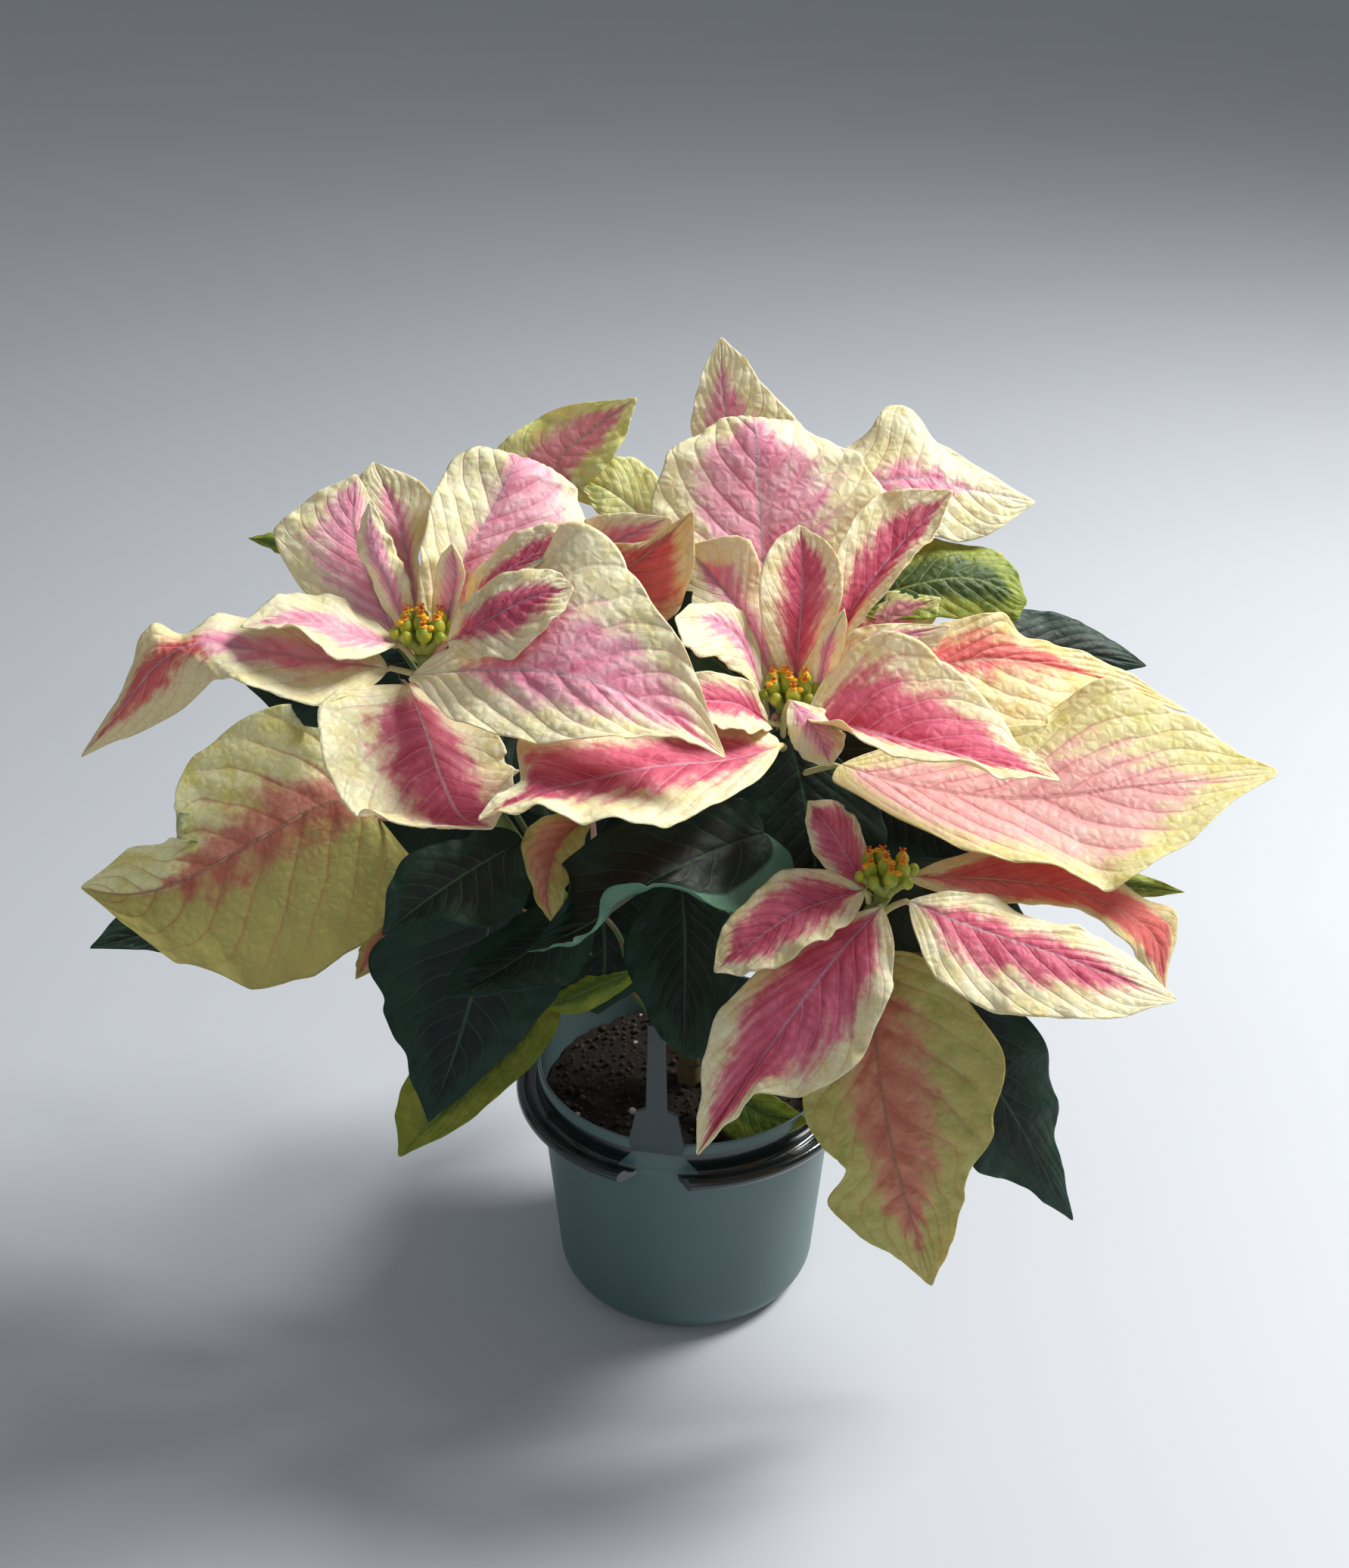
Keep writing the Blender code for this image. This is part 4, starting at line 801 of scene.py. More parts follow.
# Leaves that show only in part, in the shade under and between the flower heads
INNER_LEAVES = {
    "inner_leaf_1": ("left", 0.72, "leaf",
        [(640, 880, 10), (690, 940, -5), (740, 1010, -20), (790, 1090, -34)],
        [(0.45, 810, 930, 0)], [(0.45, 640, 1020, -25)]),
    "inner_leaf_2": ("centre", 0.60, "leaf",
        [(960, 900, 45), (940, 830, 46), (900, 770, 48), (860, 700, 50)],
        [(0.45, 850, 850, 46)], [(0.45, 1000, 760, 50)]),
    "inner_leaf_3": ("centre", 0.45, "leaf",
        [(1040, 960, -10), (1060, 1040, -18), (1075, 1120, -26), (1080, 1210, -34)],
        [(0.45, 1170, 1090, -20)], [(0.45, 970, 1080, -24)]),
    "inner_leaf_4": ("right", 0.45, "leaf",
        [(1180, 1140, -24), (1240, 1180, -30), (1300, 1230, -36), (1370, 1300, -44)],
        [(0.45, 1320, 1160, -24)], [(0.45, 1210, 1270, -44)]),
    "inner_leaf_5": ("left", 0.50, "leaf",
        [(530, 900, 10), (460, 905, 14), (390, 915, 16), (325, 905, 18)],
        [(0.45, 440, 960, 10)], [(0.45, 440, 860, 24)]),
    "inner_leaf_6": ("centre", 0.70, "pale_green",
        [(1070, 900, 34), (1130, 850, 38), (1185, 812, 42), (1243, 790, 46)],
        [(0.45, 1130, 800, 46)], [(0.45, 1190, 870, 36)]),
    "inner_leaf_7": ("left", 0.64, "leaf",
        [(820, 850, -2), (850, 815, -2), (880, 795, -4), (915, 782, -6)],
        [(0.45, 850, 795, -2)], [(0.45, 885, 822, -8)]),
    "inner_leaf_8": ("centre", 0.16, "young",
        [(850, 1280, -18), (800, 1298, -24), (760, 1316, -28), (722, 1332, -30)],
        [(0.45, 785, 1332, -30)], [(0.45, 770, 1288, -22)]),
    "inner_leaf_9": ("centre", 0.10, "young",
        [(930, 1420, -16), (970, 1452, -26), (1015, 1476, -34), (1068, 1482, -42)],
        [(0.45, 1010, 1440, -26)], [(0.45, 965, 1500, -38)]),
    "inner_leaf_10": ("left", 0.66, "young",
        [(430, 735, 20), (395, 724, 22), (362, 716, 24), (328, 711, 26)],
        [(0.45, 385, 738, 22)], [(0.45, 388, 704, 26)]),
    "inner_leaf_11": ("centre", 0.40, "young",
        [(1400, 1150, -14), (1460, 1166, -14), (1510, 1172, -14), (1566, 1179, -14)],
        [(0.45, 1475, 1150, -12)], [(0.45, 1470, 1186, -16)]),
    "inner_leaf_12": ("left", 0.34, "olive",
        [(520, 1210, 4), (502, 1240, 2), (486, 1266, 0), (470, 1294, -2)],
        [(0.45, 515, 1262, 0)], [(0.45, 480, 1240, 4)]),
    "inner_leaf_14": ("centre", 0.62, "leaf",
        [(1010, 900, 30), (1060, 960, 20), (1110, 1020, 8), (1150, 1080, -4)],
        [(0.45, 1200, 930, 26)], [(0.45, 960, 1045, 4)]),
    "inner_leaf_15": ("right", 0.55, "leaf",
        [(1150, 1120, -30), (1150, 1185, -40), (1145, 1250, -50), (1140, 1320, -58)],
        [(0.45, 1235, 1210, -38)], [(0.45, 1060, 1200, -44)]),
    "inner_leaf_16": ("left", 0.54, "leaf",
        [(570, 950, 36), (605, 1020, 30), (640, 1090, 22), (670, 1165, 14)],
        [(0.45, 750, 1030, 22)], [(0.45, 486, 1104, 36)]),
    "inner_leaf_13": ("centre", 0.34, "leaf",
        [(760, 1090, 0), (790, 1170, -8), (800, 1260, -18), (790, 1340, -28)],
        [(0.45, 890, 1210, -8)], [(0.45, 664, 1210, -14)]),
    "inner_leaf_17": ("right", 0.62, "leaf",
        [(1130, 1050, -4), (1195, 1080, -4), (1260, 1110, -6), (1340, 1150, -8)],
        [(0.45, 1270, 1050, -2)], [(0.45, 1170, 1150, -8)]),
    "inner_leaf_18": ("centre", 0.50, "leaf",
        [(770, 1020, -4), (800, 1060, -6), (840, 1100, -10), (880, 1160, -14)],
        [(0.45, 890, 1040, -4)], [(0.45, 725, 1120, -10)]),
    "inner_leaf_19": ("centre", 0.66, "leaf",
        [(1010, 935, 20), (985, 908, 22), (955, 880, 24), (915, 850, 26)],
        [(0.45, 1000, 860, 26)], [(0.45, 930, 930, 18)]),
    "inner_bract_1": ("left", 0.90, "cream",
        [(700, 800, 6), (760, 750, 6), (820, 712, 6), (885, 684, 5)],
        [(0.45, 745, 700, 10)], [(0.45, 860, 760, 3)]),
    "inner_bract_2": ("centre", 0.90, "cream",
        [(1085, 930, 2), (1125, 880, 5), (1180, 845, 8), (1256, 826, 12)],
        [(0.45, 1105, 845, 8)], [(0.45, 1190, 890, 4)]),
    "inner_bract_3": ("centre", 0.92, "cream",
        [(1045, 925, -18), (1068, 950, -26), (1086, 978, -33), (1098, 1012, -40)],
        [(0.45, 1112, 955, -26)], [(0.45, 1050, 985, -34)]),
}
# Each palette: margin, its blotches, heart, the heart's deep tone, veins, and the underside's
# margin and heart
PALETTES = {
    "cream": ((248, 236, 196), (238, 226, 170), (246, 194, 202), (228, 124, 156), (238, 178, 186),
              (240, 226, 182), (234, 160, 148)),
    "magenta": ((246, 233, 194), (236, 220, 164), (228, 122, 146), (174, 48, 80), (236, 160, 180),
                (240, 216, 168), (216, 96, 108)),
    "coral": ((240, 220, 170), (230, 204, 134), (228, 122, 112), (200, 80, 84), (240, 170, 140),
              (240, 214, 170), (226, 120, 110)),
    "blush": ((222, 214, 160), (204, 200, 124), (232, 186, 180), (214, 144, 144), (190, 104, 108),
              (224, 212, 156), (226, 150, 130)),
    "olive": ((178, 178, 104), (156, 162, 82), (200, 148, 116), (168, 92, 76), (180, 112, 86),
              (204, 196, 118), (206, 132, 96)),
    # straw is olive lightened, as painted light on leaf_left_1's lit upper lobe; the underside tones are
    # olive's
    "straw": ((240, 234, 182), (216, 212, 132), (222, 168, 146), (174, 98, 82), (178, 112, 86),
              (204, 196, 118), (206, 132, 96)),
    # sheen is a rolled-up edge's pale blue-green underside, lightened further as a painted sheen
    "sheen": ((88, 132, 108), (72, 114, 94), (88, 132, 108), (72, 114, 94), (118, 154, 112),
              (70, 98, 66), (58, 88, 58)),
    "pale_green": ((226, 228, 160), (206, 214, 120), (236, 168, 172), (214, 120, 140),
                   (222, 190, 140), (220, 220, 150), (228, 160, 140)),
    "green": ((150, 164, 62), (126, 146, 50), (62, 92, 30), (40, 70, 24), (176, 184, 104),
              (150, 166, 86), (110, 134, 66)),
    "leaf": ((18, 50, 38), (26, 58, 40), (9, 31, 22), (6, 22, 17), (56, 88, 58),
             (70, 98, 66), (58, 88, 58)),
    "young": ((122, 142, 40), (146, 158, 58), (86, 116, 32), (70, 98, 28), (170, 178, 90),
              (140, 156, 70), (110, 134, 54)),
}
# How each blade is coloured and curved: palette, how far the heart reaches on the left and right
# half, where it starts and ends along the blade, the edge's droop in mm (negative curls it up),
# the waves of the edge in mm, and the puffs between the veins in mm
LOOKS = {
    "bract_left_1": ("cream", 0.40, 0.45, 0.02, 1.0, 1.5, 1.2, 0.8),
    "bract_left_2": ("cream", 0.55, 0.45, 0.0, 1.0, -1.0, 1.2, 0.7),
    "bract_left_3": ("cream", 0.62, 0.70, 0.0, 1.1, 1.0, 1.6, 0.8),
    "bract_left_4": ("cream", 0.45, 0.35, 0.0, 0.9, 1.0, 1.2, 0.8),
    "bract_left_5": ("cream", 0.5, 0.55, 0.0, 1.0, -1.0, 1.0, 0.6),
    "bract_left_6": ("cream", 0.15, 0.80, 0.05, 1.1, 2.5, 1.2, 0.9),
    "bract_left_7": ("cream", 0.7, 0.6, 0.0, 1.0, -0.5, 0.6, 0.5),
    "bract_left_8": ("magenta", 0.45, 0.6, 0.0, 1.0, -1.0, 1.4, 1.6),
    "bract_left_9": ("magenta", 0.55, 0.55, 0.0, 1.0, 1.0, 1.4, 1.6),
    "bract_left_10": ("cream", 0.55, 0.50, 0.16, 1.05, -5.0, 1.4, 1.4),
    "bract_left_11": ("magenta", 0.60, 0.52, 0.0, 1.05, -7.0, 1.8, 0.8),
    "bract_left_12": ("coral", 0.8, 0.9, 0.15, 0.97, -1.0, 1.0, 0.7),
    # Painted light: leaf_left_1 takes the lightened straw tones, its left lobe the darker olive ones as
    # painted shade
    "leaf_left_1": ("straw", 0.26, 0.40, 0.0, 0.80, -8.0, 1.8, 1.6),
    "leaf_left_2": ("leaf", 0.6, 0.6, 0.0, 1.0, 1.5, 1.2, 0.6),
    "leaf_left_3": ("leaf", 0.6, 0.6, 0.0, 1.0, 1.5, 1.2, 0.6),
    "leaf_left_4": ("leaf", 0.6, 0.6, 0.0, 1.0, 2.0, 1.4, 0.8),
    "leaf_left_5": ("young", 0.4, 0.4, 0.0, 1.0, 1.0, 1.2, 0.6),
    "bract_centre_1": ("magenta", 0.50, 0.75, 0.0, 0.98, -3.5, 1.8, 1.1),
    "bract_centre_2": ("magenta", 0.5, 0.65, 0.0, 1.0, -1.0, 1.2, 0.6),
    "bract_centre_3": ("cream", 0.4, 0.5, 0.05, 0.9, 1.0, 1.2, 0.7),
    "bract_centre_4": ("cream", 0.35, 0.5, 0.0, 0.9, 1.0, 1.0, 0.7),
    "bract_centre_5": ("magenta", 0.55, 0.62, 0.0, 1.0, -1.0, 0.8, 0.6),
    "bract_centre_6": ("cream", 0.5, 0.5, 0.0, 0.8, -0.5, 0.5, 0.4),
    "bract_centre_7": ("magenta", 0.55, 0.5, 0.0, 1.05, -1.0, 1.2, 0.7),
    "bract_centre_8": ("cream", 0.66, 0.60, 0.0, 0.88, 2.0, 1.4, 1.0),
    "bract_centre_9": ("magenta", 0.72, 0.35, 0.0, 1.05, -3.0, 1.6, 1.1),
    "bract_centre_10": ("coral", 0.65, 0.2, 0.0, 0.85, 1.5, 1.6, 1.0),
    "leaf_centre_1": ("blush", 0.50, 0.74, 0.0, 0.97, -6.0, 1.6, 0.9),
    "leaf_centre_2": ("leaf", 0.6, 0.6, 0.0, 1.0, -7.0, 3.4, 0.8),
    "leaf_left_7": ("olive", 0.2, 0.8, 0.0, 1.0, 1.0, 1.2, 0.5),
    "leaf_left_6": ("leaf", 0.6, 0.6, 0.0, 1.0, 1.5, 1.2, 0.6),
    "leaf_centre_3": ("leaf", 0.6, 0.6, 0.0, 1.0, 1.5, 1.4, 0.6),
    "bract_right_1": ("magenta", 0.66, 0.74, 0.0, 1.0, 1.0, 1.4, 0.8),
    "bract_right_2": ("magenta", 0.8, 0.8, 0.0, 1.0, 1.0, 1.0, 0.6),
    "bract_right_3": ("magenta", 0.72, 0.70, 0.0, 1.1, 1.5, 1.8, 0.9),
    "bract_right_4": ("magenta", 0.46, 0.54, 0.05, 1.0, 1.5, 1.6, 0.8),
    "bract_right_5": ("coral", 0.7, 0.8, 0.0, 1.1, 1.0, 1.4, 0.7),
    "leaf_right_1": ("olive", 0.50, 0.46, 0.0, 0.92, -4.0, 1.8, 1.3),
    "leaf_right_2": ("leaf", 0.6, 0.6, 0.0, 1.0, 1.5, 1.4, 0.7),
    "bract_back_1": ("cream", 0.6, 0.35, 0.0, 0.9, -1.0, 1.2, 0.8),
    "bract_back_2": ("cream", 0.30, 0.35, 0.0, 0.75, 1.0, 1.4, 0.8),
    "bract_back_3": ("pale_green", 0.6, 0.5, 0.1, 1.0, 1.0, 1.4, 0.7),
    "bract_back_4": ("pale_green", 0.0, 0.0, 0.0, 0.5, 1.0, 1.2, 0.7),
    "leaf_back_1": ("green", 0.6, 0.6, 0.0, 1.0, 1.5, 1.6, 1.0),
    "leaf_back_2": ("leaf", 0.6, 0.6, 0.0, 1.0, 1.5, 1.2, 0.6),
    "leaf_back_3": ("leaf", 0.6, 0.6, 0.0, 1.0, 1.5, 1.2, 0.6),
    "leaf_back_4": ("leaf", 0.6, 0.6, 0.0, 1.0, 1.5, 1.2, 0.6),
    "bract_back_5": ("cream", 0.6, 0.6, 0.0, 1.0, 1.5, 1.4, 0.8),
}


def seen(across, down, depth):
    """The place of a point of the front view that lies at a depth, in metres."""
    u = (across - VIEW_MIDDLE[0]) / VIEW_SCALE
    v = (VIEW_MIDDLE[1] - down) / VIEW_SCALE
    ahead = math.cos(LOOK_DOWN) + math.sin(LOOK_DOWN) * v
    up = math.cos(LOOK_DOWN) * v - math.sin(LOOK_DOWN)
    ray = Matrix.Rotation(-LOOK_ASIDE, 3, "Z") @ Vector((u, ahead, up))
    return EYE + ray * ((depth / 1000 - EYE.y) / ray.y)


def half_width(share):
    """The outline of a pointed oval leaf: 1 where it is widest."""
    widest = WIDEST_POWER / (WIDEST_POWER + TIP_POWER)
    most = widest ** WIDEST_POWER * (1 - widest) ** TIP_POWER
    share = min(max(share, 0.0), 1.0)
    return share ** WIDEST_POWER * (1 - share) ** TIP_POWER / most


def edge_offsets(rib, edge):
    """For each edge point its share and the offset from the midrib, as for a full outline."""
    stations = []
    for share, across, down, depth in edge:
        offset = seen(across, down, depth) - smooth_curve(rib, share)
        stations.append((share, offset / half_width(share)))
    return stations


def offset_at(stations, share):
    """The offset at a share of the leaf, blended between the given stations."""
    if share <= stations[0][0]:
        return stations[0][1]
    for (low, before), (high, after) in zip(stations, stations[1:]):
        if share <= high:
            blend = (share - low) / (high - low)
            blend = blend * blend * (3 - 2 * blend)
            return before.lerp(after, blend)
    return stations[-1][1]


def stalk_start(branch, along, towards):
    """Where a stalk leaves its branch: just off the bark, on the side that it leans to."""
    points = branch_points(branch)
    centre = smooth_curve(points, along)
    ahead = smooth_curve(points, min(along + 0.02, 1.0))
    run = (ahead - smooth_curve(points, along - 0.02)).normalized()
    out = towards - centre
    lean = abs(out.normalized().dot(run))
    out = (out - run * out.dot(run)).normalized()
    return centre + out * (BRANCH_RADIUS + SEAT + STALK_THICK / 2 * lean)


# Blades that turn over: from that share of the length on, the other face shows its colours
TURNED_TIPS = {"bract_left_1": (0.50, "coral"), "bract_centre_10": (0.97, "cream")}
# Blades whose left side shows other tones from this far out: on leaf_centre_2 the rolled-up left edge
# shows its paler underside with a painted sheen, on leaf_left_1 the left lobe takes darker olive tones as
# painted shade
ROLLED_UNDERSIDE_AND_PAINTED_LIGHT = {"leaf_centre_2": (0.62, "sheen"), "leaf_left_1": (0.02, "olive")}


def plain_look(palette):
    """The look of a leaf that is mostly hidden."""
    return (palette, 0.5, 0.5, 0.0, 1.0, 1.5, 1.2, 0.6)


def vein_count(share, side, right):
    """Which side vein a place on the blade lies on: whole numbers are on a vein."""
    return share * VEINS - side * VEIN_LEAN - side * side * VEIN_CURL - right * OTHER_SIDE


def relief(place, share, across, look, seed):
    """How far the blade's skin stands up at a place, in metres."""
    droop, waves, puffs = look[5:8]
    side = abs(across)
    count = vein_count(share, side, 1.0 if across > 0 else 0.0)
    between = abs(count % 1.0 - 0.5) * 2
    body = min(side * 7, 1.0) * (1 - 0.35 * side) * min((1 - share) * 6, 1.0) * min(share * 6, 1.0)
    puff = (1 - between ** 2.2) - 0.5
    grain = noise.fractal(place * GRAIN_SCALE, 0.9, 2.0, 3)
    near, next_near = noise.voronoi(place / PUFF_CELL)[0][:2]
    cell = min((next_near - near) * 1.8, 1.0) ** 0.7
    height = puffs * body * (puff * 0.70 + grain * 0.30 + (cell - 0.5) * 0.26)
    edge = side ** 2.5 * min(share * 5, 1.0) * min((1 - share) * 5, 1.0)
    wave = noise.noise(Vector((share * 6.5, across, seed * 3.1)))
    wave += 0.5 * noise.noise(Vector((share * 15, across, seed * 7.7)))
    height += waves * 2.1 * edge * wave
    height -= droop * side * side * math.sin(math.pi * min(max(share, 0.0), 1.0))
    height -= 0.45 * max(0.0, 1 - side * 9) * min((1 - share) * 8, 1.0)
    return height / 1000


def keep_inside(point):
    """The point, held inside the box that the plant was measured to."""
    for axis in range(3):
        point[axis] = min(max(point[axis], cad_low[axis] + 0.0004), cad_high[axis] - 0.0004)
    return point


def grow_blade(bm, rib, left, right, look, seed):
    """The blade: a fine grid over midrib and edges, given its relief, then its thickness."""
    length = sum((smooth_curve(rib, (i + 1) / 40) - smooth_curve(rib, i / 40)).length for i in range(40))
    wide = max(offset_at(left, 0.45).length, offset_at(right, 0.45).length)
    row_count = max(round(length / BLADE_CELL), 24)
    column_count = max(round(wide * 2 / BLADE_CELL / 2) * 2, 12)
    bmesh.ops.create_grid(bm, x_segments=column_count, y_segments=row_count, size=1.0)
    rows = []
    for i in range(row_count + 1):
        share = i / row_count
        ragged = 1 + 0.05 * noise.noise(Vector((share * 11, seed, 0.5)))
        drip = 1 - 0.30 * max(0.0, (share - 0.84) / 0.16) * (1 - max(0.0, share - 0.97) / 0.03)
        width = half_width(share) * ragged * drip + 0.012
        rows.append((smooth_curve(rib, share), offset_at(left, share) * width,
                     offset_at(right, share) * width))
    places = {}
    for vert in bm.verts:
        across, share = vert.co.x, (vert.co.y + 1) / 2
        centre, to_left, to_right = rows[round(share * row_count)]
        places[vert] = (across, share)
        vert.co = centre + (to_left if across < 0 else to_right) * abs(across)
    layer = bm.loops.layers.uv.new("blade")
    for face in bm.faces:
        for loop in face.loops:
            across, share = places[loop.vert]
            loop[layer].uv = ((across + 1) / 2, share)
    bm.normal_update()
    normals = {vert: vert.normal.copy() for vert in bm.verts}
    for vert, (across, share) in places.items():
        vert.co = keep_inside(vert.co + normals[vert] * relief(vert.co, share, across, look, seed))
    middle = [vert for vert, place in places.items() if abs(place[0]) < 1e-6]
    ridge = [(vert.co.copy(), normals[vert]) for vert in middle]
    shell = bmesh.ops.solidify(bm, geom=bm.faces[:], thickness=BLADE_THICK)["geom"]
    for part in shell:
        if isinstance(part, bmesh.types.BMFace):
            part.material_index = 1
    return ridge


def blade_finish(name, look, seed, under):
    """A blade's skin: cream or green margin, feathered heart, veins and fine wrinkles."""
    palette, reach_left, reach_right, start, end = look[:5]
    tones = [linear(*tone) for tone in PALETTES[palette]]
    margin, blotch, heart, deep, vein, under_margin, under_heart = tones
    if under:
        margin, blotch, heart, deep = under_margin, under_margin, under_heart, under_heart
    dark = palette in ("leaf",)
    material, finish, shader = new_finish(name, Subsurface_Weight=0.0 if dark else 0.45,
                                          Subsurface_Radius=(0.004, 0.002, 0.0012),
                                          Subsurface_Scale=0.5, Specular_IOR_Level=0.35)
    uv = finish.node("ShaderNodeUVMap", {"uv_map": "blade"})
    across = finish.node("ShaderNodeSeparateXYZ", links={0: uv}) * 2 - 1
    share = finish.node("ShaderNodeSeparateXYZ", links={0: uv}, output=1)
    side = abs(across)
    right = across.maths("GREATER_THAN", 0.0)
    place = object_place(finish)
    soft = finish.noise(place, 55.0 + seed, 2.0)
    count = share * VEINS - side * VEIN_LEAN - side * side * VEIN_CURL - right * OTHER_SIDE
    count = count + (soft - 0.5) * 0.35
    on_vein = abs(count.maths("FRACT") - 0.5) * 2
    spot = finish.node("ShaderNodeCombineXYZ", links={0: count * 2.2, 1: side * 4.2, 2: seed * 3.7})
    streak = finish.noise(spot, 1.0, 4.0, 0.6)
    patch = finish.noise(place, 150.0, 4.0, 0.62)
    reach = right * (reach_right - reach_left) + reach_left
    along = share.step(start - 0.05, start + 0.22) * (1 - share.step(end - 0.30, end + 0.02))
    edge = reach * along + (streak - 0.5) * 0.6 + (patch - 0.5) * 0.6 + (on_vein - 0.5) * 0.06
    in_heart = (edge - side).step(-0.15, 0.25) * along.step(0.02, 0.12)
    mottle = finish.noise(place, 120.0, 4.0, 0.6)
    outer = mottle.step(0.42, 0.68).mix(margin, blotch)
    if name.rsplit("_", 1)[0] in TURNED_TIPS:
        turn, turned = TURNED_TIPS[name.rsplit("_", 1)[0]]
        past = share.step(turn - 0.02, turn + 0.02)
        back = [linear(*tone) for tone in PALETTES[turned]]
        outer = past.mix(outer, back[0])
        heart, deep = past.mix(heart, back[2]), past.mix(deep, back[3])
    # Painted light and shade on the left side: a painted sheen over the rolled edge's underside, or
    # painted shade over a whole lobe
    if name.rsplit("_", 1)[0] in ROLLED_UNDERSIDE_AND_PAINTED_LIGHT:
        left_side_from, left_side_palette = ROLLED_UNDERSIDE_AND_PAINTED_LIGHT[name.rsplit("_", 1)[0]]
        past = (1 - right) * side.step(left_side_from - 0.04, left_side_from + 0.04)
        back = [linear(*tone) for tone in PALETTES[left_side_palette]]
        outer = past.mix(outer, back[0])
        heart, deep = past.mix(heart, back[2]), past.mix(deep, back[3])
    # Painted shade: near the midrib the heart leans to its deep tone, for the shade in the blade's fold
    depth = (1 - side * 1.5).clamp() * 0.22
    toned = (mottle * 0.45 + patch * 0.25 + (streak - 0.5) * 0.4 + on_vein * 0.14 + depth).step(0.30, 0.85)
    inner = toned.mix(heart, deep)
    skin = in_heart.mix(outer, inner)
    line = on_vein.step(0.86, 0.99) * (1 - side.step(0.55, 0.98)) * 0.45
    rib = (1 - side.step(0.012, 0.035)) * 0.7
    skin = line.maths("MAXIMUM", rib).mix(skin, vein)
    warp = finish.node("ShaderNodeTexNoise", None, {"Vector": place, "Scale": 260.0, "Detail": 2.0}, 1)
    bent = finish.node("ShaderNodeVectorMath", {"operation": "SCALE"}, {0: warp, "Scale": 0.0016})
    quilt = finish.node("ShaderNodeVectorMath", {"operation": "ADD"}, {0: place, 1: bent})
    net = finish.node("ShaderNodeTexVoronoi", {"feature": "DISTANCE_TO_EDGE"},
                      {"Vector": quilt, "Scale": 1 / PUFF_CELL})
    thread = 1 - net.step(0.0, 0.12)
    skin = (thread * (0.05 if dark else 0.13)).mix(skin, deep)
    feed(shader, "Base Color", skin)
    feed(shader, "Roughness", mottle * 0.2 + 0.46)
    wrinkle = finish.noise(place, 620.0, 3.0, 0.6)
    height = wrinkle * 0.2 + net.step(0.0, 0.40) * 0.8 - on_vein.step(0.78, 1.0) * 0.65
    feed(shader, "Normal", finish.bump(height, 0.15 if dark else 0.32, 0.0010))
    return material


def stalk_finish(name, tone, blush):
    material, finish, shader = new_finish(name, Roughness=0.5)
    place = object_place(finish)
    flush = finish.noise(place, 70.0, 3.0)
    fibre = finish.noise(place, 800.0, 3.0)
    feed(shader, "Base Color", flush.step(0.4, 0.62).mix(linear(*tone), linear(*blush)))
    feed(shader, "Normal", finish.bump(fibre, 0.25, 0.0004))
    return material


STALK_FINISHES = {
    "pale": stalk_finish("pale_stalk", (206, 204, 138), (214, 158, 140)),
    "green": stalk_finish("green_stalk", (88, 112, 58), (124, 96, 66)),
}


def grow_stalk(bm, start, rib, normals_at):
    """The round stalk, running on as the raised midrib under the blade."""
    first_run = (smooth_curve(rib, 0.04) - rib[0]).normalized()
    reach = (rib[0] - start).length * STALK_BOW
    path = []
    radii = []
    for i in range(STALK_STEPS):
        ease = i / STALK_STEPS
        path.append(start.lerp(rib[0], ease) - first_run * reach * ease * (1 - ease))
        radii.append(STALK_THICK / 2 * (1.15 - 0.15 * ease))
    for i in range(RIDGE_STEPS):
        share = i / RIDGE_STEPS
        spot, normal = normals_at[round(share * (len(normals_at) - 1))]
        radius = STALK_THICK / 2 * (1 - share) ** 0.8 * 0.72 + 0.00018
        path.append(spot - normal * (radius * RIDGE_SINK))
        radii.append(radius)
    for face in add_tube(bm, path, radii, 10):
        face.material_index = 2


every_leaf = {**LEAVES, **INNER_LEAVES}
for number, (name, leaf) in enumerate(every_leaf.items()):
    branch, along, colour, rib_seen, left_seen, right_seen = leaf
    look = LOOKS.get(name) or plain_look(colour)
    seed = number * 1.37 + 0.5
    rib = [seen(*point) for point in rib_seen]
    left = edge_offsets(rib, left_seen)
    right = edge_offsets(rib, right_seen)
    bm = bmesh.new()
    ridge = grow_blade(bm, rib, left, right, look, seed)
    grow_stalk(bm, stalk_start(branch, along, rib[0]), rib, ridge)
    stalk = "green" if look[0] in ("leaf", "green", "young") else "pale"
    materials = [blade_finish(name + "_upper", look, seed, False),
                 blade_finish(name + "_under", look, seed, True), STALK_FINISHES[stalk]]
    slot = colour if name in LEAVES else {"leaf": "dark_green", "young": "green",
                                          "olive": "yellow_green"}.get(colour, colour)
    make_piece(name + "_blade", bm, materials, [name] if name in LEAVES else ())

for branch in BRANCHES:
    joints = [leaf[1] for leaf in LEAVES.values() if leaf[0] == branch]
    add_stem(branch + "_shoot", branch_points(branch), BRANCH_RADIUS, joints, "branch_" + branch)

# The true flowers: at each branch's tip a cluster of small green cups on short necks, each with
# a yellow two-lipped nectar gland on its side and red threads with yellow pollen at its mouth.
FLOWER_BALLS = (
    (0.0, 0.0, 10.2, 3.3), (5.2, -1.6, 9.8, 3.0), (-5.2, -0.8, 9.4, 2.9), (1.2, -5.4, 8.8, 3.0),
    (-0.8, 5.2, 10.4, 2.8), (5.6, 4.0, 10.6, 2.6), (-5.4, 4.4, 10.4, 2.6), (6.6, -6.0, 7.6, 2.2),
    (-4.4, -5.8, 7.6, 2.3), (-8.6, -2.6, 8.0, 2.0), (9.2, 1.0, 8.6, 2.1),
)
OPEN_FLOWERS = 7
CUP_STRETCH = 1.1
THREADS = 6

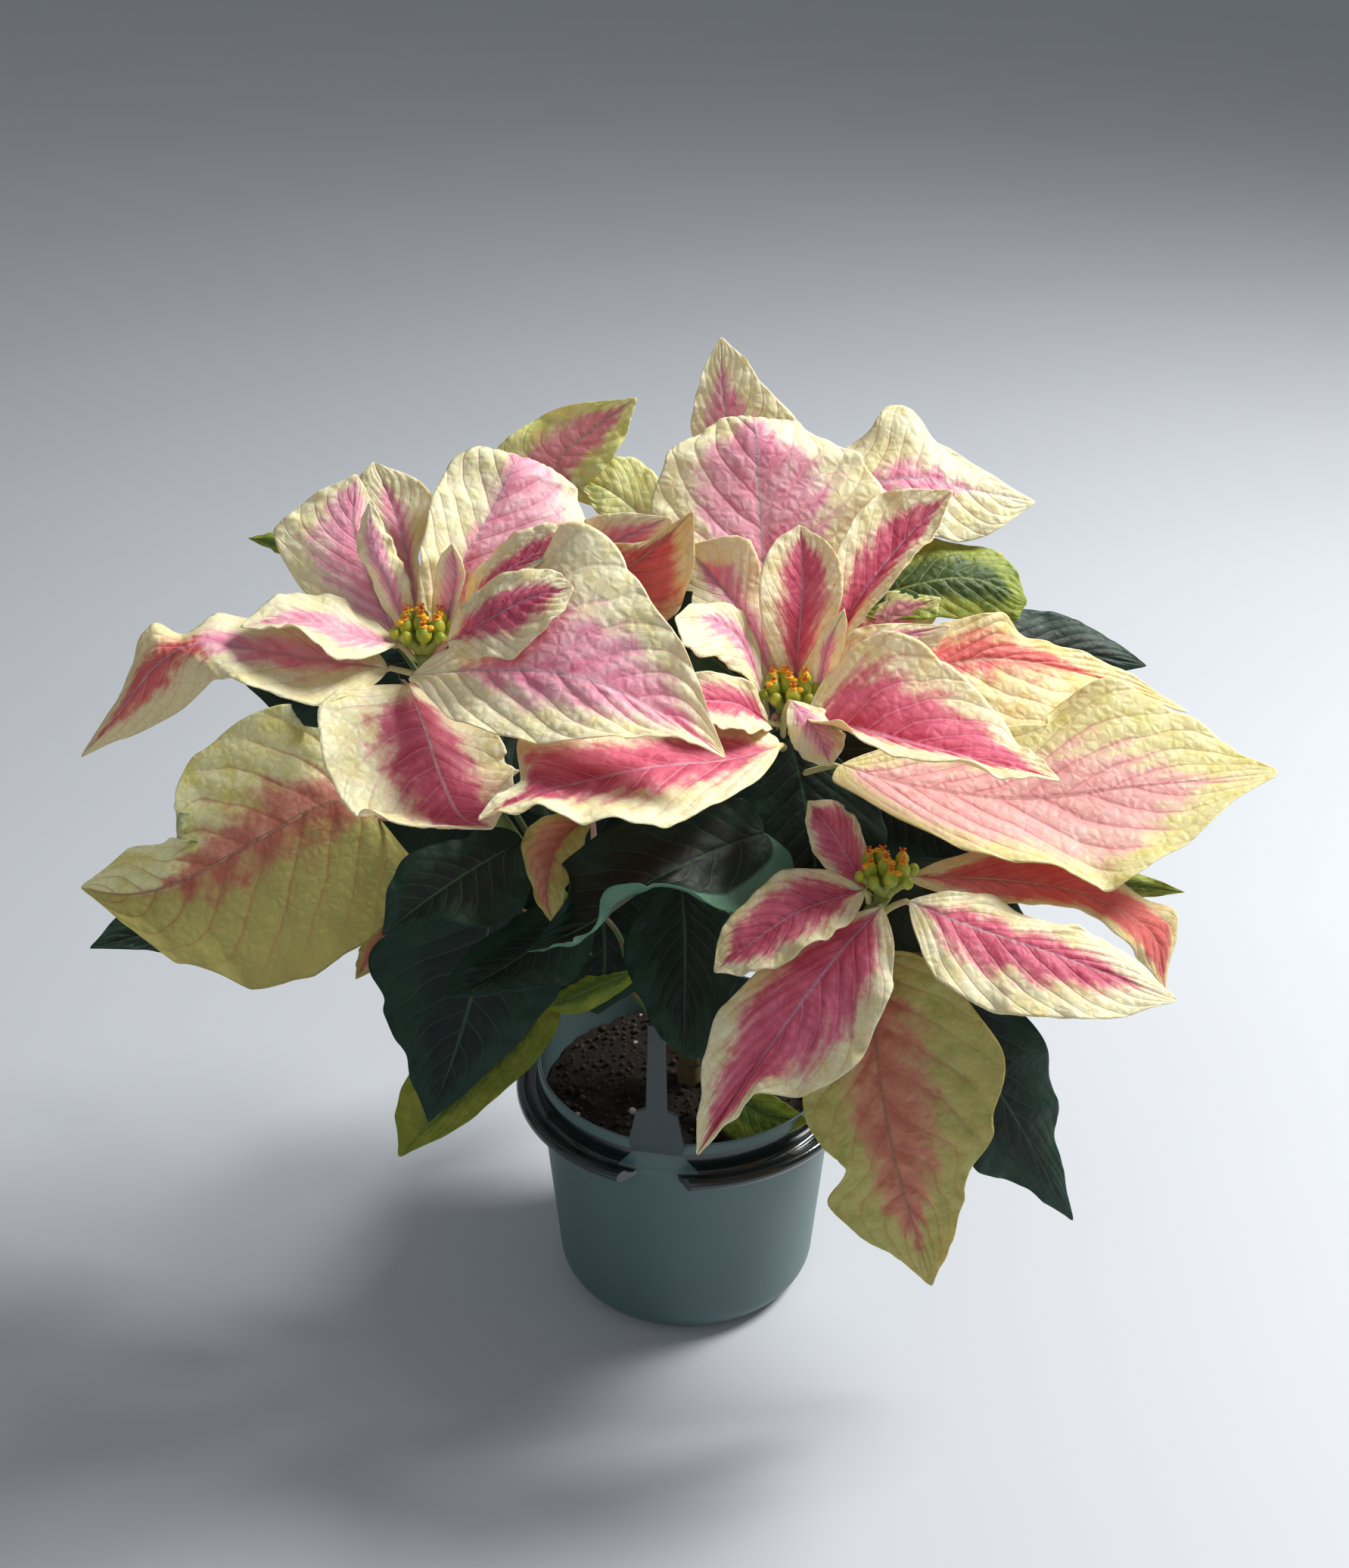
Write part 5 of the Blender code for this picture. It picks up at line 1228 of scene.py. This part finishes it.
cup_material, finish, shader = new_finish("flower_cup", Roughness=0.42, Subsurface_Weight=0.15,
                                          Subsurface_Radius=(0.002, 0.002, 0.001), Subsurface_Scale=0.5)
place = object_place(finish)
tone = finish.noise(place, 260.0, 3.0)
feed(shader, "Base Color", tone.step(0.35, 0.7).mix(linear(146, 166, 44), linear(198, 196, 66)))
feed(shader, "Normal", finish.bump(finish.noise(place, 1100.0, 3.0), 0.3, 0.0004))
gland_material, finish, shader = new_finish("nectar_gland", Roughness=0.22)
tone = finish.noise(object_place(finish), 500.0, 2.0)
feed(shader, "Base Color", tone.mix(linear(232, 190, 30), linear(240, 150, 34)))
thread_material, finish, shader = new_finish("pollen_thread", Roughness=0.5)
tone = finish.noise(object_place(finish), 700.0, 2.0)
feed(shader, "Base Color", tone.step(0.4, 0.6).mix(linear(206, 62, 32), linear(236, 140, 34)))
neck_material, finish, shader = new_finish("flower_neck", Roughness=0.5)
tone = finish.noise(object_place(finish), 300.0, 2.0)
feed(shader, "Base Color", tone.mix(linear(150, 164, 70), linear(178, 184, 92)))


def add_ball(bm, centre, size, index, rings=8):
    ball = bmesh.ops.create_uvsphere(bm, u_segments=rings * 2, v_segments=rings, radius=1.0)["verts"]
    for vert in ball:
        vert.co = centre + Vector((vert.co.x * size[0], vert.co.y * size[1], vert.co.z * size[2]))
    for face in {face for vert in ball for face in vert.link_faces}:
        face.material_index = index


for branch in BRANCHES:
    tip = branch_points(branch)[-1]
    bm = bmesh.new()
    for number, (across, depth, up, size) in enumerate(FLOWER_BALLS):
        opened = number < OPEN_FLOWERS
        centre = tip + Vector((across, depth, up)) / 1000
        radius = size / 1000
        neck = [tip.lerp(centre, share) for share in (0.02, 0.35, 0.65, 1.0)]
        add_tube(bm, neck, [0.0021, 0.0016, 0.0012, 0.0013], 10, 3)
        add_ball(bm, centre, (radius * 0.86, radius * 0.86, radius * CUP_STRETCH * 0.94), 0, 10)
        mouth = centre + Vector((0, 0, radius * CUP_STRETCH * 0.86))
        angle = number * 2.4 - 0.9
        out = Vector((math.cos(angle), math.sin(angle), 0.15))
        if opened:
            add_ball(bm, centre + out * radius * 0.72 + Vector((0, 0, radius * 0.62)),
                     (radius * 0.46, radius * 0.46, radius * 0.34), 1)
            add_ball(bm, mouth, (radius * 0.5, radius * 0.5, radius * 0.16), 1)
        for i in range(THREADS if opened else 0):
            turn = 2 * math.pi * i / THREADS + number
            lean = Vector((math.cos(turn) * 0.5, math.sin(turn) * 0.5, 1.0))
            end = mouth + lean * radius * (0.46 + 0.22 * math.sin(i * 2.1 + number))
            add_tube(bm, [mouth, mouth.lerp(end, 0.5), end], [0.00024, 0.00021, 0.00018], 6, 2)
            add_ball(bm, end, (0.00046, 0.00046, 0.00036), 2 if i % 3 else 1, 4)
    make_piece(branch + "_flower_head", bm,
               [cup_material, gland_material, thread_material, neck_material],
               ["flowers_" + branch])
